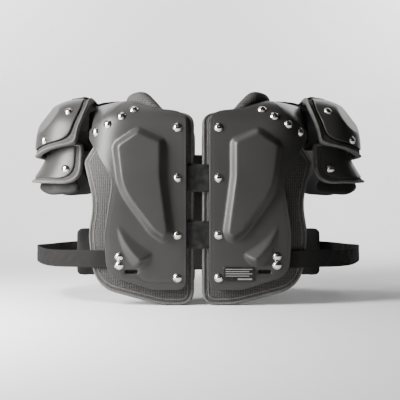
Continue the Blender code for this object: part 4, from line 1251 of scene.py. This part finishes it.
def side_route():
    anchor = on_body(np.array([0.100, 0.112, 0.124]), np.full(3, STRAP_Z), np.full(3, sum(STRAP) / 2))
    front = on_body(np.array([PLATE_SIDE]), np.array([STRAP_Z]), np.array([sum(STRAP) / 2]))[0]
    y = front[1]
    edge = HALF_DEPTH - 0.0022 + 0.0055
    return np.vstack([anchor[:, :2], [
        (front[0] + 0.0015, y), (PLATE_SIDE + 0.0225, y + 0.0042), (LOOP_REACH - 0.0600, y + 0.0225),
        (LOOP_REACH - 0.0240, y + 0.0600), (LOOP_REACH - 0.0010, -0.0050), (LOOP_REACH, 0.0400),
        (LOOP_REACH - 0.0180, edge - 0.0410), (LOOP_REACH - 0.0520, edge - 0.0130),
        (0.1650, edge - 0.0005), (PLATE_SIDE + 0.0035, edge), (0.1180, EDGE_Y), (0.1000, EDGE_Y)]])


def side_strap_shape():
    length, spots = measured(side_route(), -1)

    def form(u, v, depth):
        sag = 0.9 * MM * np.sin(u * 37) * eased(0.04, 0.08, u)
        return np.column_stack([spots(u, depth), STRAP_Z + v + sag])

    flat = Pattern(box_outline(0.0, -0.0122, length, 0.0122, 1.5 * MM), 2.0 * MM)
    outer, inner = rounded_edge(flat, STRAP_EDGE, (WEBBING_WALL / 2, -WEBBING_WALL / 2))
    u, v = flat.points.T
    ripple = 0.35 * MM * np.sin(u * 330 + 2 * np.sin(v * 300)) * eased(0.045, 0.09, u)
    return sheet_shape(flat, outer + ripple, inner + ripple, form), length


side_strap, strap_length = side_strap_shape()
for side, flip in SIDES:
    sign = -1 if flip else 1
    root = Vector(joints[side + "_side_strap_swing"]["pos_m"])
    ends = ((root.x - sign * 0.003, root.y, STRAP_Z), (root.x + sign * 0.017, root.y + 0.010, STRAP_Z))
    add_piece(side + "_rib_webbing", turned(side_strap, flip), WEBBING, None,
              [side + "_side_strap", side + "_side_strap_anchor"],
              bend=(side + "_half", side + "_strap", *ends))
print(f"each side strap is {strap_length:.3f} m long")


# %% The hooks on the side straps
def hook_shape():
    x, z = 0.1000, STRAP_Z
    hole = box_outline(x + 0.0035, z - 0.0070, x + 0.0075, z + 0.0070, 0.0018)
    flat = Pattern(box_outline(x, z - 0.010, x + 0.020, z + 0.010, 0.003), 1.2 * MM, [hole], rim=0.8 * MM)
    return sheet_shape(flat, *rounded_edge(flat, 0.8 * MM, (2.5 * MM, 0.5 * MM)), on_body)


hook = hook_shape()
for side, flip in SIDES:
    add_piece(side + "_hook", turned(hook, flip, True), NICKEL, side + "_strap",
              [side + "_strap_hook"], sharp=40)

# %% [markdown]
# ## Rivets, grown by Geometry Nodes
# Dozens of rivets are alike, so one node tree makes a rivet and sets a copy at
# each point, turned to the surface. The tree's inputs are the rivet's sizes.
# %% A node tree for rivets
def add_socket(tree, name, kind, direction="INPUT"):
    return tree.interface.new_socket(name, in_out=direction, socket_type="NodeSocket" + kind)


def new_tree(name, inputs, output):
    """An empty node tree, and its named inputs."""
    tree = bpy.data.node_groups.new(name, "GeometryNodeTree")
    for label, kind in inputs:
        add_socket(tree, label, kind)
    add_socket(tree, output, "Geometry", "OUTPUT")
    return tree, add_node(tree, "NodeGroupInput").outputs


def standing_out(tree):
    """The turn that stands a copy up along each point's outward direction."""
    outward = add_node(tree, "GeometryNodeInputNamedAttribute", {"Name": "outward"}, data_type="FLOAT_VECTOR")
    return add_node(tree, "FunctionNodeAlignRotationToVector", {"Vector": outward.outputs["Attribute"]},
                    axis="Z").outputs[0]


def finish_copies(tree, material, copies):
    """Set a copy at each point, make the copies real and smooth, and give them their finish."""
    set_down = add_node(tree, "GeometryNodeInstanceOnPoints", copies)
    real = add_node(tree, "GeometryNodeRealizeInstances", {0: set_down.outputs[0]})
    smooth = add_node(tree, "GeometryNodeSetShadeSmooth", {0: real.outputs[0]})
    coated = add_node(tree, "GeometryNodeSetMaterial", {"Geometry": smooth.outputs[0], "Material": material})
    add_node(tree, "NodeGroupOutput", {0: coated.outputs[0]})
    return tree


WASHER_SHARE = 1.16                 # the washer's radius for a head's radius of 1


def rivet_tree():
    tree, given = new_tree("rivets", (("Points", "Geometry"), ("Head radius", "Float"),
                                      ("Dome height", "Float"), ("Metal", "Material")), "Rivets")
    ball = add_node(tree, "GeometryNodeMeshUVSphere", {"Segments": 24, "Rings": 12, "Radius": 1.0})
    size = add_node(tree, "ShaderNodeCombineXYZ", {0: given["Head radius"], 1: given["Head radius"],
                                                   2: given["Dome height"]})
    dome = add_node(tree, "GeometryNodeTransform",
                    {"Geometry": ball.outputs["Mesh"], "Scale": size.outputs[0]})
    wide = combined(tree, "MULTIPLY", given["Head radius"], WASHER_SHARE)
    washer = add_node(tree, "GeometryNodeMeshCylinder", {"Vertices": 24, "Radius": wide, "Depth": 0.9 * MM})
    both = add_node(tree, "GeometryNodeJoinGeometry")
    tree.links.new(dome.outputs[0], both.inputs[0])
    tree.links.new(washer.outputs["Mesh"], both.inputs[0])
    return finish_copies(tree, given["Metal"], {"Points": given["Points"], "Instance": both.outputs[0],
                                                "Rotation": standing_out(tree)})


def grown(name, points, edges, vectors, tree, settings):
    """Run a node tree on points that know which way is out, and keep a plain mesh."""
    mesh = bpy.data.meshes.new("seeds")
    mesh.from_pydata(points.tolist(), edges, [])
    outward = mesh.attributes.new("outward", "FLOAT_VECTOR", "POINT")
    outward.data.foreach_set("vector", np.ascontiguousarray(vectors, np.float32).ravel())
    thing = in_scene(name, mesh)
    growth = thing.modifiers.new("growth", "NODES")
    growth.node_group = tree
    for item in tree.interface.items_tree:
        if item.in_out == "INPUT" and item.name in settings:
            growth[item.identifier] = settings[item.name]
    result = evaluated(thing)
    result.name = name
    thing.modifiers.clear()
    thing.data = result
    return thing


def surface_points(spots, form, depth):
    """World places and outward directions of pattern spots."""
    spots = np.array(spots, float)
    x, v = spots.T
    depth = np.broadcast_to(depth, len(spots))
    low = form(x, v, depth)
    return low, unit(form(x, v, depth + 1.0 * MM) - low)


# %% Setting the rivets
INNER = [(0.029, height) for height in (ROLL_START + 0.019, heights["upper"], heights["lower"],
                                        PLATE_BOTTOM + 0.0175)]
SHOULDER = [(0.0908, ROLL_START + 0.0484), (0.1080, ROLL_START + 0.0366),
            (0.1278, ROLL_START + 0.0258), (0.1463, ROLL_START + 0.0152)]
STRAP_PAIR = [(0.1107, 0.0700), (0.1107, 0.0575)]
CUP_RIVETS = [(0.0413, 0.0850), (0.1190, 0.0860)]
LOWER_RIVETS = [(0.1105, 0.1940)]
RIVET_SEAT = 0.2 * MM               # height of a rivet's middle over the plastic
RIVETS = rivet_tree()
RIVET_SIZE = {"Head radius": 5.3 * MM, "Dome height": 3.2 * MM, "Metal": NICKEL}


def both_faces(spots, form, depth, back=True):
    """Rivets at the spots on the front and, mirrored, on the back."""
    place, out = surface_points(spots, form, depth)
    if not back:
        return place, out
    flip = np.array([1, -1, 1])
    return np.vstack([place, place * flip]), np.vstack([out, out * flip])


groups = [
    ("_half", [both_faces(INNER + SHOULDER, on_body, RIVET_SEAT),
               both_faces(STRAP_PAIR, on_body, RIVET_SEAT, False)],
     ["_front_inner_rivets", "_back_inner_rivets", "_front_shoulder_rivets", "_back_shoulder_rivets",
      "_front_strap_rivets"]),
    ("_upper_cup", [both_faces(CUP_RIVETS, on_upper_cup, RIVET_SEAT)],
     ["_upper_cup_front_rivets", "_upper_cup_back_rivets"]),
    ("_lower_cup", [both_faces(LOWER_RIVETS, on_lower_cup, RIVET_SEAT)], ["_lower_cup_front_rivet"]),
]
for side, flip in SIDES:
    mirror = np.array([-1 if flip else 1, 1, 1])
    for body, parts, nodes in groups:
        place = np.vstack([part[0] for part in parts]) * mirror
        out = np.vstack([part[1] for part in parts]) * mirror
        piece = grown(side + body + "_rivet_heads", place, [], out, RIVETS, RIVET_SIZE)
        settle(piece, side + body, [side + node for node in nodes])
        print(piece.name, "holds", len(place), "rivets")


# %% [markdown]
# ## Stitches, grown by Geometry Nodes
# A seam is a line with its outward directions. The tree measures it out in
# stitch lengths, sets one thread at each point along the line, and turns every
# second one the other way for a zigzag.
# %% A node tree for stitches
def stitch_tree():
    tree, given = new_tree("stitches", (("Seam", "Geometry"), ("Spacing", "Float"), ("Length", "Float"),
                                        ("Thread width", "Float"), ("Zigzag angle", "Float"),
                                        ("Thread", "Material")), "Stitches")
    line = add_node(tree, "GeometryNodeMeshToCurve", {0: given["Seam"]})
    even = add_node(tree, "GeometryNodeResampleCurve", {"Curve": line.outputs[0], "Length": given["Spacing"]},
                    mode="LENGTH")
    ball = add_node(tree, "GeometryNodeMeshUVSphere", {"Segments": 6, "Rings": 4, "Radius": 0.5})
    tangent = add_node(tree, "GeometryNodeInputTangent")
    along = add_node(tree, "FunctionNodeAlignRotationToVector",
                     {"Rotation": standing_out(tree), "Vector": tangent.outputs[0]}, axis="X", pivot_axis="Z")
    index = add_node(tree, "GeometryNodeInputIndex")
    sign = combined(tree, "MULTIPLY_ADD", combined(tree, "MODULO", index.outputs[0], 2.0), 2.0, -1.0)
    angle = combined(tree, "MULTIPLY", sign, given["Zigzag angle"])
    zig = add_node(tree, "FunctionNodeAxisAngleToRotation", {"Axis": (0, 0, 1), "Angle": angle})
    slant = add_node(tree, "FunctionNodeRotateRotation",
                     {"Rotation": along.outputs[0], "Rotate By": zig.outputs[0]}, rotation_space="LOCAL")
    size = add_node(tree, "ShaderNodeCombineXYZ", {0: given["Length"], 1: given["Thread width"],
                                                   2: given["Thread width"]})
    return finish_copies(tree, given["Thread"],
                         {"Points": even.outputs[0], "Instance": ball.outputs["Mesh"],
                          "Rotation": slant.outputs[0], "Scale": size.outputs[0]})


STITCHES = stitch_tree()


def seam(path, form, depth, closed=True, back=False):
    """A seam's points, the edges between them, and the outward directions."""
    place, out = surface_points(path, form, depth)
    flip = np.array([1, -1 if back else 1, 1])
    edges = [(k, k + 1) for k in range(len(path) - 1)]
    if closed:
        edges.append((len(path) - 1, 0))
    return place * flip, edges, out * flip


def sew(name, seams, body, nodes, flip, settings):
    """Sew several seams as one piece."""
    mirror = np.array([-1 if flip else 1, 1, 1])
    edges = []
    base = 0
    for place, pairs, _ in seams:
        edges += [(a + base, b + base) for a, b in pairs]
        base += len(place)
    piece = grown(name, np.vstack([s[0] for s in seams]) * mirror, edges,
                  np.vstack([s[2] for s in seams]) * mirror, STITCHES, settings)
    return settle(piece, body, nodes)


ZIGZAG = {"Spacing": 2.3 * MM, "Length": 3.6 * MM, "Thread width": 1.05 * MM,
          "Zigzag angle": math.radians(40), "Thread": THREAD}
STRAIGHT_ROW = {"Spacing": 3.4 * MM, "Length": 2.5 * MM, "Thread width": 0.95 * MM,
                "Zigzag angle": 0.0, "Thread": THREAD}
pad_line = spaced(PAD_LINE, 2.0 * MM)
zigzag_row, stitch_row = (spaced(inset(pad_line, line), 2.5 * MM) for line in SEWN_LINES)
cup_rows = [(level, spaced(inset(spaced(border, 2.0 * MM), STITCH_INSET), 2.5 * MM), form)
            for level, border, form in (("upper", upper_border, on_upper_cup),
                                        ("lower", lower_border, on_lower_cup))]
for side, flip in SIDES:
    half_pads = [side + "_front_body_pad", side + "_back_body_pad"]
    rows = [seam(zigzag_row, on_body, PAD[0] - 1.3 * MM, True, back) for back in (False, True)]
    sew(side + "_padding_zigzag", rows, side + "_half", half_pads, flip, ZIGZAG)
    rows = [seam(stitch_row, on_body, PAD[0] - 0.5 * MM, True, back) for back in (False, True)]
    sew(side + "_padding_stitches", rows, side + "_half", half_pads, flip, STRAIGHT_ROW)
    for level, row, form in cup_rows:
        cup = f"{side}_{level}_cup"
        sew(cup + "_stitches", [seam(row, form, CUP_PAD[0] + 2.7 * MM)], cup, [cup + "_pad"],
            flip, STRAIGHT_ROW)
print("stitched", len(zigzag_row), "points round each body pad")

# %% [markdown]
# ## The blank label
# A small black coated panel with paler, plain bars in place of print.
# %% Label panel
LABEL_LOW, LABEL_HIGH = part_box("label_panel")


def panel(x0, z0, x1, z1, low, high, step=2.0 * MM):
    flat = Pattern(box_outline(x0, z0, x1, z1, 0.0008), step, rim=0.3 * MM)
    return sheet_shape(flat, *rounded_edge(flat, 0.3 * MM, (high, low)), on_body)


label = panel(LABEL_LOW.x, LABEL_LOW.z, LABEL_HIGH.x, LABEL_HIGH.z, 0.4 * MM, 1.0 * MM)
add_piece("label_face", label, COATED, "left_half", ["label_panel"])
BAR_DEPTHS = (0.7 * MM, 1.15 * MM)
bars = []
for k in range(4):
    top = LABEL_HIGH.z - 0.0030 - k * 0.0031
    right = LABEL_HIGH.x - 0.0020 - 0.0040 * (k % 2)
    bars.append(panel(LABEL_LOW.x + 0.0020, top - 0.0013, right, top, *BAR_DEPTHS))
bars.append(panel(LABEL_LOW.x + 0.0180, LABEL_LOW.z + 0.0014, LABEL_HIGH.x - 0.0015, LABEL_LOW.z + 0.0038,
                  *BAR_DEPTHS))
add_piece("label_bars", joined(*bars), LABEL, "left_half", ["label_panel"])

# %% [markdown]
# ## Studio
# A pale sweep under and behind the object, one soft light close by on the left,
# weak ones from in front and from above, two lights on the sweep's wall, and a
# long lens at chest height.
# %% The sweep, lights and camera
# name, place, where it points, width, height and power
LIGHTS = (
    ("key", (-0.62, -0.42, 0.42), (-0.10, -0.12, 0.16), 0.30, 0.60, 27.0),
    ("fill", (0.10, -1.40, 0.90), (0.05, 0.0, 0.15), 0.40, 0.40, 0.5),
    ("top", (-0.2, 0.1, 1.1), (0, 0, 0.2), 0.6, 0.4, 1.5),
    ("back wall left", (-1.1, 0.8, 1.2), (-0.5, 1.5, 1.1), 0.8, 0.8, 30.0),
    ("back wall right", (1.1, 0.8, 1.2), (0.5, 1.5, 1.1), 0.8, 0.8, 30.0),
)
# places of the sweep's profile along y and up, and of the surround's by radius and up
SWEEP = ((-0.80, 0.0), (0.2, 0.0), (0.9, 0.0), (1.25, 0.04), (1.45, 0.25), (1.5, 0.7), (1.5, 2.4))
SURROUND = ((0.0, -0.004), (2.4, -0.004), (2.8, 0.05), (3.0, 0.4), (3.0, 3.0))
CAMERA_X, CAMERA_DISTANCE, CAMERA_HEIGHT = 0.0028, 1.100, 0.149     # distance from the plates' face


def sheet_of_rows(name, rows, finish):
    """A smooth sheet through rows of points."""
    across = len(rows[0])
    mesh = bpy.data.meshes.new(name)
    mesh.from_pydata([point for row in rows for point in row], [], [
        (k * across + i, k * across + i + 1, (k + 1) * across + i + 1, (k + 1) * across + i)
        for k in range(len(rows) - 1) for i in range(across - 1)])
    mesh.shade_smooth()
    mesh.materials.append(finish)
    thing = in_scene(name, mesh)
    return thing


def backdrop():
    """A pale floor that curves up into a wall behind the object, and a pale drum round all of it that
    only the camera sees, so that it throws no light on the dark plastic."""
    paper, tree, shader = blank_finish("pale paper", (0.86, 0.86, 0.86), 0.9)
    tinted(tree, shader, noise(tree, object_place(tree), 40.0), (0.84, 0.84, 0.84), (0.88, 0.88, 0.88))
    shader.inputs["Specular IOR Level"].default_value = 0.1
    profile = smooth_route(SWEEP, 8)
    sheet_of_rows("sweep", [[(x, y, z) for x in (-4.0, -2.0, 0.0, 2.0, 4.0)] for y, z in profile], paper)
    glow, tree, shader = blank_finish("pale surround", (0.02, 0.02, 0.02), 0.9)
    clouds = noise(tree, object_place(tree), 3.0)
    tree.links.new(blend_colours(tree, clouds, (0.70, 0.70, 0.70), (0.74, 0.74, 0.74)),
                   shader.inputs["Emission Color"])
    shader.inputs["Emission Strength"].default_value = 1.0
    angles = [k * math.pi / 32 for k in range(65)]
    around = sheet_of_rows("surround", [[(radius * math.cos(a), radius * math.sin(a), height) for a in angles]
                                        for radius, height in SURROUND], glow)
    around.visible_diffuse = around.visible_glossy = around.visible_shadow = False
    around.visible_transmission = around.visible_volume_scatter = False


def soft_light(name, place, aim, width, height, power):
    lamp = bpy.data.lights.new(name, "AREA")
    lamp.shape = "RECTANGLE"
    lamp.size, lamp.size_y = width, height
    lamp.energy = power
    thing = in_scene(name, lamp)
    thing.location = place
    thing.rotation_euler = (Vector(aim) - Vector(place)).to_track_quat("-Z", "Y").to_euler()


def studio():
    backdrop()
    for light in LIGHTS:
        soft_light(*light)
    world = bpy.data.worlds.new("studio")
    world.use_nodes = True
    sky = world.node_tree.nodes["Background"]
    sky.inputs["Color"].default_value = (1.0, 0.99, 0.97, 1.0)
    sky.inputs["Strength"].default_value = 0.03
    bpy.context.scene.world = world


def camera():
    lens = bpy.data.cameras.new("camera")
    lens.lens, lens.sensor_width = 70.7, 36.0
    thing = in_scene("camera", lens)
    thing.location = (CAMERA_X, -HALF_DEPTH - CAMERA_DISTANCE, CAMERA_HEIGHT)
    thing.rotation_euler = (math.radians(90), 0, 0)
    bpy.context.scene.camera = thing


studio()
camera()

# %% [markdown]
# ## Measure and finish
# The triangles of all the made pieces are counted. The visible model may go
# only a little past the CAD model's box.
# %% Sizes and the last line
triangles = sum(len(piece.data.loop_triangles) or len(piece.data.polygons) for piece in made_pieces)
print(len(made_pieces), "pieces,", triangles, "faces")
